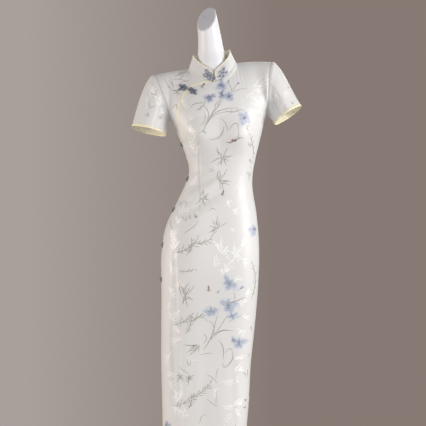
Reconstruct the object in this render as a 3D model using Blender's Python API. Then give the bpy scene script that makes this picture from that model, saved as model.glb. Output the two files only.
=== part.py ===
"""Short-sleeved cheongsam worn by a limbless dress form on a round steel stand.

Frame: metres, +Z up, the front of the dress faces -Y, +X is the wearer's left.
The origin is the centre of the base plate's underside, on the floor.

The cloth is one smooth surface, read by rows and columns, and every panel, binding and
button is made from points of that surface, moved in or out along its normal.
  row     from the hem to the underarm line it is a height below that line, in metres
          (so it is negative); above the line it is the share of the way, 0 to 1,
          from the underarm line to the armhole top, shoulder seam or neckline
  column  an angle in degrees, -90 at the wearer's right side seam, 0 at the centre,
          90 at the wearer's left side seam, on the front and on the back alike
"""
import math

import bmesh
import bpy
import numpy as np
from mathutils import Vector
from mathutils.bvhtree import BVHTree

MM = 0.001

# ---- cloth and seams -----------------------------------------------------------------
CLOTH = 1.5 * MM                # wall of the satin with its backing
COLLAR_CLOTH = 1.8 * MM         # the collar is stiffened
CONTACT = 0.3 * MM              # gap kept between pieces that touch
SIDE_TRIM = 0.2 * MM            # each panel stops this far from a side seam
UNDERLAP_RISE = CLOTH + 2 * CONTACT     # the front rises this far to lie on the under-front
RISE_START_HEIGHT = 1.082       # it starts to rise here, below the opening
UNDERLAP_BOTTOM_HEIGHT = 1.145  # the under-front starts here
UNDERLAP_TOP_ROW = 0.87         # the under-front no longer reaches under the front above this
BINDING_WIDTH = 5.0 * MM
CUFF_BINDING_WIDTH = 7.5 * MM
BINDING_THICK = 1.0 * MM
BINDING_SEAT = 0.35 * MM        # a binding lies this far above the panel's outer face

# ---- the dress, seen from the front --------------------------------------------------
HEM_HEIGHT = 0.142
UNDERARM_HEIGHT = 1.226
SLIT_TOP_HEIGHT = 0.330
SLIT_SPREAD = 7.0 * MM          # each edge of a slit stands off this far at the hem
NECKLINE_COLUMN = 30.0          # columns nearer the centre than this end on the neckline
CORNER_EASE = 12.0              # degrees of column over which the corner beside the neck eases
NECKLINE_STEP = 15.0            # degrees round the neck between two corners of the neckline

SHOULDER_TIP = (0.188, 0.012, 1.3815)
SHOULDER_RISE = 2.5 * MM        # the shoulder seam bows up by this much
NECK_SIDE = (0.0763, 0.012, 1.3900)
NECK_FRONT_DEPTH = 0.072
NECK_BACK_DEPTH = 0.054
NECK_FRONT_DROP = 0.0512
NECK_BACK_DROP = 0.002

# Torso sections: a level superellipse, its halves of unequal depth. Sizes in mm.
#        height  half_width  front_depth  back_depth  squareness
TORSO = [
    (142.0, 128.8, 84.0, 84.0, 2.60),
    (244.4, 132.8, 87.0, 90.0, 2.60),
    (340.4, 137.9, 89.0, 96.0, 2.60),
    (436.4, 141.6, 91.0, 102.0, 2.60),
    (551.6, 147.7, 94.0, 110.0, 2.60),
    (647.6, 151.7, 96.0, 117.0, 2.55),
    (724.4, 154.4, 98.0, 122.0, 2.50),
    (782.0, 155.2, 98.0, 124.0, 2.45),
    (820.4, 152.8, 97.0, 122.0, 2.40),
    (858.8, 148.8, 96.0, 117.0, 2.40),
    (897.2, 140.6, 94.0, 110.0, 2.35),
    (935.6, 128.6, 91.0, 101.0, 2.30),
    (974.0, 116.2, 87.0, 92.0, 2.25),
    (1012.4, 105.3, 83.0, 84.0, 2.20),
    (1050.8, 101.0, 82.0, 80.0, 2.20),
    (1089.2, 107.0, 86.0, 82.0, 2.20),
    (1127.6, 117.4, 94.0, 87.0, 2.25),
    (1166.0, 131.4, 102.0, 92.0, 2.30),
    (1198.0, 142.4, 102.0, 95.0, 2.35),
    (1226.0, 153.0, 99.0, 96.0, 2.40),
]

# Stance: where the middle of the figure is at each height, and how far the row leans,
# the wearer's left side up. The weight is on one leg, so the waist swings sideways.
#        height  centre_x  tilt_degrees
STANCE = [
    (142.0, -18.4, 0.0),
    (244.4, -16.6, 0.0),
    (340.4, -13.8, 0.0),
    (436.4, -12.3, 0.0),
    (551.6, -6.2, 0.0),
    (647.6, -1.6, 0.0),
    (724.4, 0.5, 0.0),
    (782.0, 1.3, 0.0),
    (820.4, 3.0, 0.0),
    (858.8, 4.8, 0.0),
    (897.2, 9.4, 0.0),
    (935.6, 16.6, 0.0),
    (974.0, 22.1, 0.0),
    (1012.4, 29.1, 0.0),
    (1050.8, 35.7, 0.0),
    (1089.2, 36.6, 0.0),
    (1127.6, 35.2, 0.0),
    (1166.0, 30.9, 0.6),
    (1198.0, 28.0, 2.0),
    (1226.0, 27.4, 3.6),
    (1281.2, 23.0, 4.2),
    (1329.2, 15.7, 6.0),
    (1379.4, 9.6, 6.3),
    (1390.0, 8.0, 6.9),
    (1431.6, 2.6, 9.5),
    (1460.4, 0.3, 9.0),
    (1486.0, -2.2, 8.5),
    (1511.6, -5.8, 8.5),
    (1535.6, -9.6, 8.5),
    (1578.8, -16.0, 8.5),
]

# Bust and seat: soft mounds on the general figure, mirrored left and right.
#        side    mid_x  height  rise  spread_x  spread_z   (mm)
MOUNDS = [
    ("front", 66.0, 1166.0, 17.0, 46.0, 52.0),
    ("back", 70.0, 800.0, 7.0, 55.0, 75.0),
]

# The front's free edge as seen from the front, from the right side seam below the arm up
# to the middle of the neckline. Sizes in mm.
#        height   x
OPENING = [
    (1142.0, -90.5),
    (1160.0, -87.5),
    (1180.0, -88.0),
    (1208.0, -97.0),
    (1243.0, -97.5),
    (1271.0, -94.0),
    (1287.0, -86.5),
    (1306.0, -72.0),
    (1318.0, -59.5),
    (1325.0, -45.0),
    (1330.0, -29.0),
    (1333.6, -12.0),
    (1338.0, 14.5),
]

# Largest folds, as soft troughs (negative) and ridges between two points of the front
# view. A fold fades at both ends.
#        side    x0     z0      x1     z1     height  width   (mm)
FOLDS = [
    ("front", -66.0, 1024.0, 26.0, 1066.0, 2.6, 11.0),
    ("front", -74.0, 996.0, 38.0, 1052.0, -2.8, 12.0),
    ("front", -80.0, 960.0, 50.0, 1030.0, 3.0, 13.0),
    ("front", -88.0, 926.0, 62.0, 1000.0, -3.2, 15.0),
    ("front", -86.0, 884.0, 72.0, 962.0, 2.6, 17.0),
    ("front", -122.0, 640.0, -112.0, 250.0, -4.0, 11.0),
    ("front", -101.0, 610.0, -95.0, 220.0, 3.0, 10.0),
    ("back", -60.0, 1040.0, 60.0, 1012.0, -3.0, 12.0),
    ("back", -74.0, 1004.0, 74.0, 976.0, 3.0, 14.0),
    ("back", -30.0, 700.0, -26.0, 200.0, -3.0, 20.0),
    ("back", 50.0, 700.0, 42.0, 200.0, -3.0, 22.0),
]

# ---- mesh density --------------------------------------------------------------------
LOWER_HEIGHTS = [
    142, 230, 330, 425, 515, 600, 665, 720, 765, 806, 845, 880, 914, 946, 976, 1004,
    1031, 1057, 1082, 1106, 1125, 1142, 1147, 1156, 1172, 1190, 1208,
]
UPPER_SHARES = [0.0, 0.1, 0.2, 0.3, 0.39, 0.46, 0.53, 0.61, 0.73, 0.87, 0.94, 1.0]
FRONT_COLUMNS = 16
BACK_COLUMNS = 20
NECKLINE_EVERY = 5.0            # degrees of column between two points of the neckline

# ---- sleeves -------------------------------------------------------------------------
# The cuff's middle is at cuff_x, cuff_z, and half_width is half the cuff's width, in metres.
#          side  cuff_x    cuff_z    half_width  lean_degrees
SLEEVES = {
    "right": (-1, -0.1944, 1.1804, 0.0553, 14.6),
    "left": (1, 0.2482, 1.2304, 0.0505, 34.6),
}
CUFF_HALF_DEPTH = 0.0450
CUFF_FORWARD = -0.026           # the cuff's middle lies this far in front of the side seam
CUFF_PITCH = 9.0                # degrees: the cuff opens down and a little forward
CAP_PUSH = 0.074                # how strongly the sleeve head springs out of the shoulder
CUFF_PULL = 0.17
SLEEVE_ROWS = [0.0, 0.09, 0.2, 0.34, 0.5, 0.67, 0.84, 1.0]

# Sleeve folds, which deepen towards the cuff: angle round the sleeve from its underside,
# positive over the front and negative over the back.
#        sleeve   angle   height_mm  width_degrees
SLEEVE_FOLDS = [
    ("left", 34.0, 2.2, 15.0),
    ("left", 64.0, -4.4, 16.0),
    ("left", 98.0, 2.6, 17.0),
    ("left", 130.0, -1.8, 17.0),
    ("left", -60.0, -3.0, 20.0),
    ("right", 58.0, -2.4, 17.0),
    ("right", 92.0, 2.0, 17.0),
    ("right", -64.0, -3.0, 20.0),
]

# ---- collar --------------------------------------------------------------------------
COLLAR_HEIGHT = 0.043
COLLAR_TOP_HALF_WIDTH = 0.0567
COLLAR_TOP_FRONT = -0.044
COLLAR_TOP_BACK = 0.058
COLLAR_TOP_MIDDLE = 0.008
COLLAR_FULLNESS = {-1: 0.12, 1: 0.42}   # the top edge stands wider in front on each side
COLLAR_CORNER = 0.034           # the front corners round off over this length
COLLAR_CORNER_POWER = 0.26
COLLAR_BINDING_WIDTH = 3.2 * MM
COLLAR_BINDING_SEAT = 0.65 * MM
COLLAR_SQUARE_UP_TO = 28.0      # degrees from the front: the binding lies square to the edge
COLLAR_MEAN_RADIUS = 0.068
COLLAR_HALF_ANGLES = [2.6, 3.6, 5.5, 9.5, 15.0, 22.0, 30.0, 37.5, 45.0, 52.5, 60.0, 67.5, 75.0,
                      82.5, 90.0, 105.0, 120.0, 135.0, 150.0, 165.0]
COLLAR_ROWS = [0.0, 0.33, 0.67, 1.0]

# ---- knot buttons --------------------------------------------------------------------
# Flowers of cord loops: half their length, towards the knot, and half their width.
FLOWER_HALVES = {
    "neck": (12.5 * MM, 12.5 * MM),
    "chest": (14.0 * MM, 8.5 * MM),
    "side": (10.0 * MM, 10.0 * MM),
}
FLOWER_LOOPS = 4
FLOWER_POINTS = 24
FLOWER_THICK = 2.4 * MM
KNOT_RADIUS = 4.0 * MM
SIDE_KNOT_RADIUS = 3.4 * MM
SIDE_REACH = 15.0 * MM          # side flower's middle to the seam
SIDE_BUTTON_HEIGHTS = [1.139, 1.0272, 0.9292, 0.8175, 0.7074]
# Neck flowers: angle round the collar, share of its height, direction of one loop (degrees).
#         half     angle  share  away
NECK_FLOWERS = {
    "right": (-0.240, 0.38, 160),
    "left": (0.385, 0.31, 20),
}
# x and height of the rest, seen from the front.
NECK_KNOT = (0.010, 1.334)
CHEST_UPPER = (-0.0865, 1.3155)
CHEST_LOWER = (-0.0525, 1.3010)
CHEST_KNOT = (-0.0700, 1.3080)
BUTTON_PROBE = 0.020            # a button comes down onto the cloth from this far above

# ---- dress form and stand ------------------------------------------------------------
FORM_BOTTOM_HEIGHT = 0.700
FORM_SHOULDER_GAP = CLOTH / 2 + 2 * CONTACT     # the dress hangs on the shoulder seams
FORM_CHEST_GAP = 4.5 * MM       # ease between the cloth and the form on the chest
FORM_BODY_GAP = 8.0 * MM        # and below it
FORM_HEIGHTS = [700, 712, 755, 800, 845, 880, 914, 946, 976, 1004, 1031, 1057, 1082, 1106,
                1125, 1142, 1156, 1172, 1190, 1208]
# Neck column: height, half width, middle and half depth. Sizes in mm.
NECK_COLUMN = [
    (1400.0, 50.0, 7.0, 50.0),
    (1434.8, 42.2, 6.0, 45.5),
    (1460.4, 39.0, 4.0, 43.5),
    (1486.0, 36.5, 2.0, 41.5),
    (1511.6, 34.6, 0.0, 40.0),
    (1535.6, 33.0, -2.0, 38.5),
    (1578.8, 31.4, -5.0, 37.0),
]
NECK_LEVEL_HEIGHT = 1.4348      # the neck is plain from here up
CUT_HEIGHT = 1.5405             # middle of the slanting cut on top of the neck
CUT_RISE_SIDE = 0.55            # it rises towards the wearer's left
CUT_RISE_BACK = 1.0             # and towards the back
CAP_PLATE_THICK = 2.0 * MM
CAP_PLATE_INSET = 1.4 * MM

BASE_RADIUS = 0.170
BASE_THICK = 0.010
SOCKET_RADIUS = 0.026
SOCKET_HEIGHT = 0.036
POLE_RADIUS = 0.0125
FLANGE_RADIUS = 0.045
FLANGE_THICK = 0.008
ROUND_SIDES = 36

# Finish of each material: colour, roughness, metallic.
FINISHES = {
    "satin": ((0.80, 0.78, 0.75), 0.38, 0.0),
    "binding": ((0.86, 0.80, 0.62), 0.42, 0.0),
    "button_cord": ((0.36, 0.41, 0.50), 0.50, 0.0),
    "form_white": ((0.84, 0.84, 0.87), 0.35, 0.0),
    "form_cap": ((0.47, 0.47, 0.50), 0.45, 0.0),
    "steel": ((0.60, 0.60, 0.61), 0.28, 0.9),
}


# ======================================================================================
# Numbers
# ======================================================================================

def smooth(table, column, at):
    """Reads one column of a table of rows at some heights, on a smooth curve through it."""
    knots = np.array([row[0] for row in table], float)
    values = np.array([row[column] for row in table], float)
    slopes = np.gradient(values, knots)
    at = np.clip(np.asarray(at, float), knots[0], knots[-1])
    i = np.clip(np.searchsorted(knots, at, side="right") - 1, 0, len(knots) - 2)
    span = knots[i + 1] - knots[i]
    t = (at - knots[i]) / span
    return hermite(t, values[i], values[i + 1], slopes[i] * span, slopes[i + 1] * span)


def hermite(t, start, end, start_pull, end_pull):
    """Cubic from start to end, leaving along start_pull and arriving along end_pull."""
    return (
        (2 * t**3 - 3 * t**2 + 1) * start
        + (t**3 - 2 * t**2 + t) * start_pull
        + (-2 * t**3 + 3 * t**2) * end
        + (t**3 - t**2) * end_pull
    )


def ease(t):
    """0 to 1 with level ends."""
    t = np.clip(t, 0.0, 1.0)
    return t * t * (3 - 2 * t)


def unit(vectors):
    """Vectors scaled to length 1."""
    return vectors / np.maximum(np.linalg.norm(vectors, axis=-1, keepdims=True), 1e-12)


def stand(x, y, height):
    """Puts a point of the upright, symmetrical figure where the leaning stance has it."""
    centre = smooth(STANCE, 1, height / MM) * MM
    tilt = np.radians(smooth(STANCE, 2, height / MM))
    return np.stack([centre + x * np.cos(tilt), y + 0 * x, height + x * np.sin(tilt)], -1)


# ======================================================================================
# The cloth's surface
# ======================================================================================

def section(height, angle, back):
    """x and y of the torso at a height and a column, on the upright figure."""
    half_width = smooth(TORSO, 1, height / MM) * MM
    depth = smooth(TORSO, 3 if back else 2, height / MM) * MM
    power = smooth(TORSO, 4, height / MM)
    s, c = np.sin(angle), np.abs(np.cos(angle))
    grow = (np.abs(s) ** power + c**power) ** (-1 / power)
    x = half_width * s * grow
    y = depth * c * grow
    for side, mid_x, mid_z, rise, spread_x, spread_z in MOUNDS:
        if (side == "back") == back:
            sideways = (np.abs(x) / MM - mid_x) / spread_x
            upright = (height / MM - mid_z) / spread_z
            y = y + rise * MM * np.exp(-(sideways**2) - upright**2) * ease(c * 2)
    return x, (y if back else -y)


def neckline(angle):
    """x, y and z of the neckline on the upright figure, straight between its corners.
    The angle is 0 at the centre front, a quarter turn at the left shoulder."""
    step = math.radians(NECKLINE_STEP)
    corner = np.floor(angle / step + 1e-6) * step
    mix = (angle - corner) / step
    ends = []
    for at in (corner, corner + step):
        s, c = np.sin(at), np.cos(at)
        depth = np.where(c > 0, NECK_FRONT_DEPTH, NECK_BACK_DEPTH)
        drop = np.where(c > 0, NECK_FRONT_DROP, NECK_BACK_DROP)
        ends.append((NECK_SIDE[0] * s, NECK_SIDE[1] - depth * c, NECK_SIDE[2] - drop * c * c))
    return [low + (high - low) * mix for low, high in zip(*ends)]


def bodice(share, angle, back):
    """Upright-figure point above the underarm line: each column is one smooth curve."""
    out = 1.0 if back else -1.0
    turn = np.sin(angle)
    side = np.sign(turn)
    degrees = np.abs(np.degrees(angle))
    start_x, start_y = section(np.full_like(angle, UNDERARM_HEIGHT), angle, back)
    # Where the column ends: on the neckline, or on the shoulder seam.
    on_neck = degrees <= NECKLINE_COLUMN
    neck_angle = np.radians(np.minimum(degrees, NECKLINE_COLUMN) * 90 / NECKLINE_COLUMN)
    neck_x, neck_y, neck_z = neckline(np.pi - neck_angle if back else neck_angle)
    along = np.clip((degrees - NECKLINE_COLUMN) / (90 - NECKLINE_COLUMN), 0, 1)
    end = [np.where(on_neck, n, a + (b - a) * along)
           for n, a, b in zip((neck_x, neck_y, neck_z), NECK_SIDE, SHOULDER_TIP)]
    end[2] = end[2] + SHOULDER_RISE * np.sin(np.pi * along)
    end_x = side * end[0]
    # How it leaves the underarm line, and how it arrives.
    inner = ease((90 - degrees) / 34)
    flare = (smooth(TORSO, 1, 1236.4) - smooth(TORSO, 1, 1212.0)) / 24.4
    leave_x = turn * (flare * 0.10 * inner)
    leave_y = out * (0.235 * (1 - inner) + 0.004 * inner)
    leave_z = 0.075 * (1 - inner) + 0.15 * inner
    centre = ease((NECKLINE_COLUMN + 14 - degrees) / (NECKLINE_COLUMN + 6))
    arrive_x = side * (0.028 * (1 - inner))
    arrive_y = -out * (0.195 * (1 - inner) + inner * (0.135 * (1 - centre) + 0.055 * centre))
    arrive_z = 0.045 * (1 - inner) + inner * (0.028 * (1 - centre) + 0.095 * centre)
    x = hermite(share, start_x, end_x, leave_x, arrive_x)
    y = hermite(share, start_y, end[1], leave_y, arrive_y)
    z = hermite(share, UNDERARM_HEIGHT, end[2], leave_z, arrive_z)
    return x, y, z


def eased_bodice(share, angle, back):
    """The bodice with the corner beside the neck eased away below the shoulder seam."""
    degrees = np.abs(np.degrees(angle))
    reach = (np.radians(CORNER_EASE) * ease(share / 0.25) * ease((1 - share) / 0.25)
             * ease((90 - degrees) / 24))
    parts = [[weight * part for part in bodice(share, angle + reach * step, back)]
             for step, weight in ((-1, 1 / 9), (-0.5, 2 / 9), (0, 3 / 9), (0.5, 2 / 9), (1, 1 / 9))]
    return [sum(values) for values in zip(*parts)]


def plain(row, column, back):
    """World point of the cloth without its folds, for arrays of rows and columns."""
    row, column = np.broadcast_arrays(np.asarray(row, float), np.asarray(column, float))
    angle = np.radians(column)
    height = UNDERARM_HEIGHT + np.minimum(row, 0.0)
    x, y = section(height, angle, back)
    upper_x, upper_y, upper_z = eased_bodice(np.clip(row, 0, 1), angle, back)
    above = row > 0
    return stand(np.where(above, upper_x, x), np.where(above, upper_y, y),
                 np.where(above, upper_z, height))


def outward(row, column, back):
    """Unit normals that point out of the dress."""
    small_row, small_column = 0.004, 0.5
    row_high = np.minimum(row + small_row, 1.0)
    right = np.minimum(column + small_column, 90.0)
    left = np.maximum(column - small_column, -90.0)
    across = plain(row, right, back) - plain(row, left, back)
    up = plain(row_high, column, back) - plain(row - small_row, column, back)
    normal = unit(np.cross(across, up))
    return -normal if back else normal


def fold_height(points, back):
    """How far the folds lift the cloth at some world points of one side."""
    lift = np.zeros(points.shape[:-1])
    for side, x0, z0, x1, z1, height, width in FOLDS:
        if (side == "back") != back:
            continue
        start = np.array([x0, z0]) * MM
        line = np.array([x1, z1]) * MM - start
        length = np.linalg.norm(line)
        line = line / length
        away = points[..., [0, 2]] - start
        along = (away @ line) / length
        across = away[..., 0] * line[1] - away[..., 1] * line[0]
        fade = ease(along / 0.3) * ease((1 - along) / 0.3)
        lift = lift + height * MM * fade * np.exp(-((across / (width * MM)) ** 2))
    return lift


def cloth(row, column, back=False, out=0.0):
    """World point of the cloth's middle, moved out of the dress by some distance."""
    row, column = np.broadcast_arrays(np.asarray(row, float), np.asarray(column, float))
    points = plain(row, column, back)
    lift = fold_height(points, back) * ease((90 - np.abs(column)) / 14)
    return points + outward(row, column, back) * (lift + out)[..., None]


def locate(x, height):
    """Row and column of the front's point that is seen at x and a height above underarm."""
    share = (height - UNDERARM_HEIGHT) / (SHOULDER_TIP[2] - UNDERARM_HEIGHT)
    at = np.array([share, math.degrees(math.asin(x / NECK_SIDE[0] / 2.2))])
    step = np.array([0.002, 0.2])
    for _ in range(40):
        here = plain(at[0], at[1], False)[[0, 2]]
        slopes = [(plain(*(at + step * pick), False)[[0, 2]] - here) / step[k]
                  for k, pick in enumerate(np.eye(2))]
        move = np.linalg.solve(np.array(slopes).T, np.array([x, height]) - here)
        at = at + np.clip(move, -step * 30, step * 30)
    return at


# ======================================================================================
# Grids
# ======================================================================================

def panel_rows():
    """Every row of a whole panel, from the hem to the shoulder."""
    lower = [height * MM - UNDERARM_HEIGHT for height in LOWER_HEIGHTS]
    return np.array(lower + UPPER_SHARES)


def opening_column(rows):
    """Column of the front's free edge at each row: where the row crosses the opening."""
    curve = np.array(OPENING) * MM
    diagonal = [(height + x, height - x) for height, x in curve]
    across = np.linspace(-90, 0, 361)
    points = plain(np.asarray(rows)[:, None], across, False)
    x, z = points[..., 0], points[..., 2]
    below = smooth(diagonal, 1, z + x) - (z - x)
    found = []
    for line in below:
        first = int(np.argmax(line > 0)) if (line > 0).any() else len(line) - 1
        part = -line[first - 1] / (line[first] - line[first - 1]) if 0 < first else 0.0
        found.append(across[max(first - 1, 0)] + part * (across[1] - across[0]))
    return np.where(np.asarray(rows) >= 1, 0.0, np.minimum(np.array(found), 0.0))


def degree_length(rows, column, back):
    """Length of one degree of column at a column of each row."""
    inner = np.where(np.asarray(column) > 0, column - 1.0, column + 1.0)
    return np.linalg.norm(plain(rows, column, back) - plain(rows, inner, back), axis=-1)


def end_column(rows, back):
    """Column of a panel's last points at each row: the side seam, or the edge of a slit,
    which stands off it further the lower it is."""
    below = np.clip((SLIT_TOP_HEIGHT - UNDERARM_HEIGHT - rows)
                    / (SLIT_TOP_HEIGHT - HEM_HEIGHT), 0, 1)
    return 90 - SLIT_SPREAD * below / degree_length(rows, 90.0, back)


def front_columns(rows):
    """Columns of the front at each row, from its free edge to the left side seam. The
    second one lies a binding's width from the edge."""
    end = end_column(rows, False)
    start = np.maximum(opening_column(rows), -end)[:, None]
    end = end[:, None]
    share = np.linspace(0, 1, FRONT_COLUMNS + 1)
    on_neck = int(NECKLINE_COLUMN / NECKLINE_EVERY)
    top = np.concatenate([np.arange(on_neck) * NECKLINE_EVERY,
                          np.linspace(NECKLINE_COLUMN, 90, FRONT_COLUMNS + 1 - on_neck)])
    blend = ease(rows / 0.8)[:, None]
    # Further round than half the neckline, the upper columns do not depend on the edge.
    upper = top + start * np.clip(1 - top / (NECKLINE_COLUMN / 2), 0, 1)
    even = start + (end - start) * share
    whole = even + (upper - even) * blend
    # The edge is met at a slant where it runs along the rows.
    edge = unit(np.gradient(plain(rows, start[:, 0], False), axis=0))
    along = unit(plain(rows, start[:, 0] + 1, False) - plain(rows, start[:, 0], False))
    slant = np.sqrt(np.maximum(1 - np.sum(edge * along, axis=-1)**2, 0.25))[:, None]
    bound = start + BINDING_WIDTH / slant / degree_length(rows[:, None], start, False)
    return np.concatenate([start, bound, whole[:, 1:]], 1)


def back_columns(rows):
    """Columns of the back at each row, from the right side seam to the left."""
    on_neck = np.arange(-NECKLINE_COLUMN, NECKLINE_COLUMN + 1, NECKLINE_EVERY)
    spare = (BACK_COLUMNS + 1 - len(on_neck)) // 2
    shoulder = np.linspace(NECKLINE_COLUMN, 90, spare + 1)[1:]
    top = np.concatenate([-shoulder[::-1], on_neck, shoulder])
    blend = ease(rows / 0.8)[:, None]
    even = np.linspace(-1, 1, BACK_COLUMNS + 1) * end_column(rows, True)[:, None]
    return even + (top - even) * blend


def under_columns(rows):
    """Columns of the under-front, from the right side seam to just under the front, where
    they are the front's own."""
    front = front_columns(rows)
    start, bound, reach = front[:, :1], front[:, 1:2], front[:, 2:3]
    # Beside the neckline the two meet edge to edge.
    under = (rows < UNDERLAP_TOP_ROW)[:, None]
    last = np.where(under, start, start - 2.0)
    on_neck = np.arange(-NECKLINE_COLUMN, 0, NECKLINE_EVERY)
    top = np.concatenate([np.linspace(-90, -NECKLINE_COLUMN, 6)[:-1], on_neck])
    share = np.linspace(0, 1, len(top) + 1)[:-1]
    blend = ease(rows / 0.8)[:, None]
    shares = share + ((top + 90) / 88 - share) * blend
    whole = np.concatenate([-90 + (last + 90) * shares, last], 1)
    return np.concatenate([whole, np.where(under, bound, start - 1.3),
                           np.where(under, reach, start - 0.6)], 1)


def front_rise(rows, columns):
    """How far the front is lifted off the plain surface by the under-front below it."""
    reach = columns[:, 2:3]
    over = 1 - ease((columns - reach - 1.0) / 14)
    low = ease((UNDERARM_HEIGHT + rows - RISE_START_HEIGHT)
               / (OPENING[0][0] * MM - RISE_START_HEIGHT))[:, None]
    top = (1 - ease((rows - UNDERLAP_TOP_ROW) / (1 - UNDERLAP_TOP_ROW)))[:, None]
    return UNDERLAP_RISE * over * low * top


def seam(points, normals, others, inside, thick=CLOTH, gap=CONTACT / 2):
    """Outer and inner edge of a wall that meets another wall: mitred, half a gap short."""
    middle = unit(normals + others)
    into = unit(np.cross(middle, np.gradient(points, axis=0)))
    into = into * np.sign(np.sum(into * (inside - points), axis=-1, keepdims=True))
    reach = thick / 2 / np.maximum(np.sum(middle * normals, axis=-1, keepdims=True), 0.6)
    base = points + into * gap
    return base + middle * reach, base - middle * reach


def shift(edge, inner):
    """Edge points drawn back from a seam, towards the points further in."""
    return edge + unit(inner - edge) * SIDE_TRIM


def collar_facing(column, back):
    """Normals of the collar along a panel's neckline columns."""
    turn = np.radians(column * 90 / NECKLINE_COLUMN)
    return collar_point(np.pi - turn if back else turn, 0.0)[1]


def panel_walls(rows, columns, back, rise, arms):
    """Outer and inner points and normals of a panel's wall, with every seam mitred.
    arms says which ends of the rows lie on a side seam and armhole: (right, left)."""
    grid_rows = np.broadcast_to(rows[:, None], columns.shape)
    points = cloth(grid_rows, columns, back, rise)
    normals = outward(grid_rows, columns, back)
    layers = [points + normals * (CLOTH / 2), points - normals * (CLOTH / 2)]

    # Shoulder seam and neckline.
    top = columns[-1]
    shoulder = outward(np.ones_like(top), top, not back)
    collar = collar_facing(top, back)
    share = np.clip((np.abs(top) - NECKLINE_COLUMN) * 10, -1, 1)[:, None] / 2 + 0.5
    meets = unit(shoulder * share + collar * (1 - share))
    edges = seam(points[-1], normals[-1], meets, points[-2])
    for layer, edge in zip(layers, edges):
        layer[-1] = edge

    # Armholes, then side seams and free edges.
    upper = np.flatnonzero(rows >= 0)
    for end, side, on_arm in ((0, -1, arms[0]), (-1, 1, arms[1])):
        inner = 1 if end == 0 else -2
        if on_arm:
            facing = armhole_facing(side, back)
            edges = seam(points[upper, end], normals[upper, end], facing, points[upper, inner])
            for layer, edge in zip(layers, edges):
                layer[upper, end] = edge
                layer[-1, end] = shift(layer[-1, end], layer[-2, end])
        sides = np.flatnonzero(rows <= 0) if on_arm else np.arange(len(rows))
        for layer in layers:
            layer[sides, end] = shift(layer[sides, end], layer[sides, inner])
    return layers[0], layers[1], normals


# ======================================================================================
# Meshes
# ======================================================================================

def material(name):
    """The named finish, made once."""
    found = bpy.data.materials.get(name)
    if found:
        return found
    made = bpy.data.materials.new(name)
    made.use_nodes = True
    colour, roughness, metallic = FINISHES[name]
    shader = made.node_tree.nodes["Principled BSDF"]
    shader.inputs["Base Color"].default_value = (*colour, 1)
    shader.inputs["Roughness"].default_value = roughness
    shader.inputs["Metallic"].default_value = metallic
    return made


def add_object(name, bm, finish):
    """Links a bmesh to the scene as one named object with its normals pointing out."""
    bmesh.ops.recalc_face_normals(bm, faces=bm.faces)
    mesh = bpy.data.meshes.new(name)
    bm.to_mesh(mesh)
    bm.free()
    mesh.materials.append(material(finish))
    mesh.shade_smooth()
    mesh.set_sharp_from_angle(angle=math.radians(40))
    made = bpy.data.objects.new(name, mesh)
    bpy.context.scene.collection.objects.link(made)
    return made


def add_wall(name, outer, inner, finish, ring=False):
    """A wall between two grids of points. A ring's last column joins its first."""
    rows, columns = outer.shape[:2]
    bm = bmesh.new()
    sheets = [[[bm.verts.new(point) for point in line] for line in grid]
              for grid in (outer, inner)]
    steps = range(columns if ring else columns - 1)
    for i in range(rows - 1):
        for j in steps:
            k = (j + 1) % columns
            # Both faces of the wall fold along the shorter diagonal.
            rising = np.linalg.norm(outer[i + 1, k] - outer[i, j])
            falling = np.linalg.norm(outer[i + 1, j] - outer[i, k])
            for sheet in sheets:
                corners = [sheet[i][j], sheet[i][k], sheet[i + 1][k], sheet[i + 1][j]]
                if rising > falling:
                    corners = corners[1:] + corners[:1]
                bm.faces.new((corners[0], corners[1], corners[2]))
                bm.faces.new((corners[0], corners[2], corners[3]))
    front, back = sheets
    for i in (0, rows - 1):
        for j in steps:
            k = (j + 1) % columns
            bm.faces.new((front[i][j], front[i][k], back[i][k], back[i][j]))
    if not ring:
        for j in (0, columns - 1):
            for i in range(rows - 1):
                bm.faces.new((front[i][j], front[i + 1][j], back[i + 1][j], back[i][j]))
    return add_object(name, bm, finish)


def add_strip(name, edge, inner, normals, ring=False, width=BINDING_WIDTH, seat=BINDING_SEAT):
    """A flat binding just above a panel's outer face: its edge points, the points next
    to them further in, and the normals there. Without a width it reaches those points."""
    into = unit(inner - edge) * width if width else inner - edge
    lines = [np.stack([edge + normals * out, edge + into + normals * out], 1)
             for out in (seat + BINDING_THICK, seat)]
    if ring:
        lines = [np.swapaxes(line, 0, 1) for line in lines]
    return add_wall(name, *lines, "binding", ring)


def add_turned(name, profile, finish, x=0.0, y=0.0):
    """A closed solid turned about an upright axis from (radius, height) points."""
    bm = bmesh.new()
    angles = [2 * math.pi * i / ROUND_SIDES for i in range(ROUND_SIDES)]
    rings = [[bm.verts.new((x + r * math.cos(a), y + r * math.sin(a), z)) for a in angles]
             for r, z in profile]
    for low, high in zip(rings, rings[1:]):
        for i in range(ROUND_SIDES):
            k = (i + 1) % ROUND_SIDES
            bm.faces.new((low[i], low[k], high[k], high[i]))
    bm.faces.new(rings[0])
    bm.faces.new(rings[-1])
    return add_object(name, bm, finish)


# ======================================================================================
# Pieces of the dress
# ======================================================================================

def add_panels():
    """Front, back, and the under-front that shows above the slanting opening. Returns
    the outer points and normals of the whole panels, which carry the bindings."""
    rows = panel_rows()
    columns = front_columns(rows)
    front = panel_walls(rows, columns, False, front_rise(rows, columns), (False, True))
    add_wall("front", *front[:2], "satin")
    back = panel_walls(rows, back_columns(rows), True, 0.0, (True, True))
    add_wall("back", *back[:2], "satin")
    near = rows[UNDERARM_HEIGHT + rows > UNDERLAP_BOTTOM_HEIGHT]
    under = panel_walls(near, under_columns(near), False, 0.0, (True, False))
    add_wall("under_front", *under[:2], "satin")
    return {"front": (front[0], front[2]), "back": (back[0], back[2])}


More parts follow.
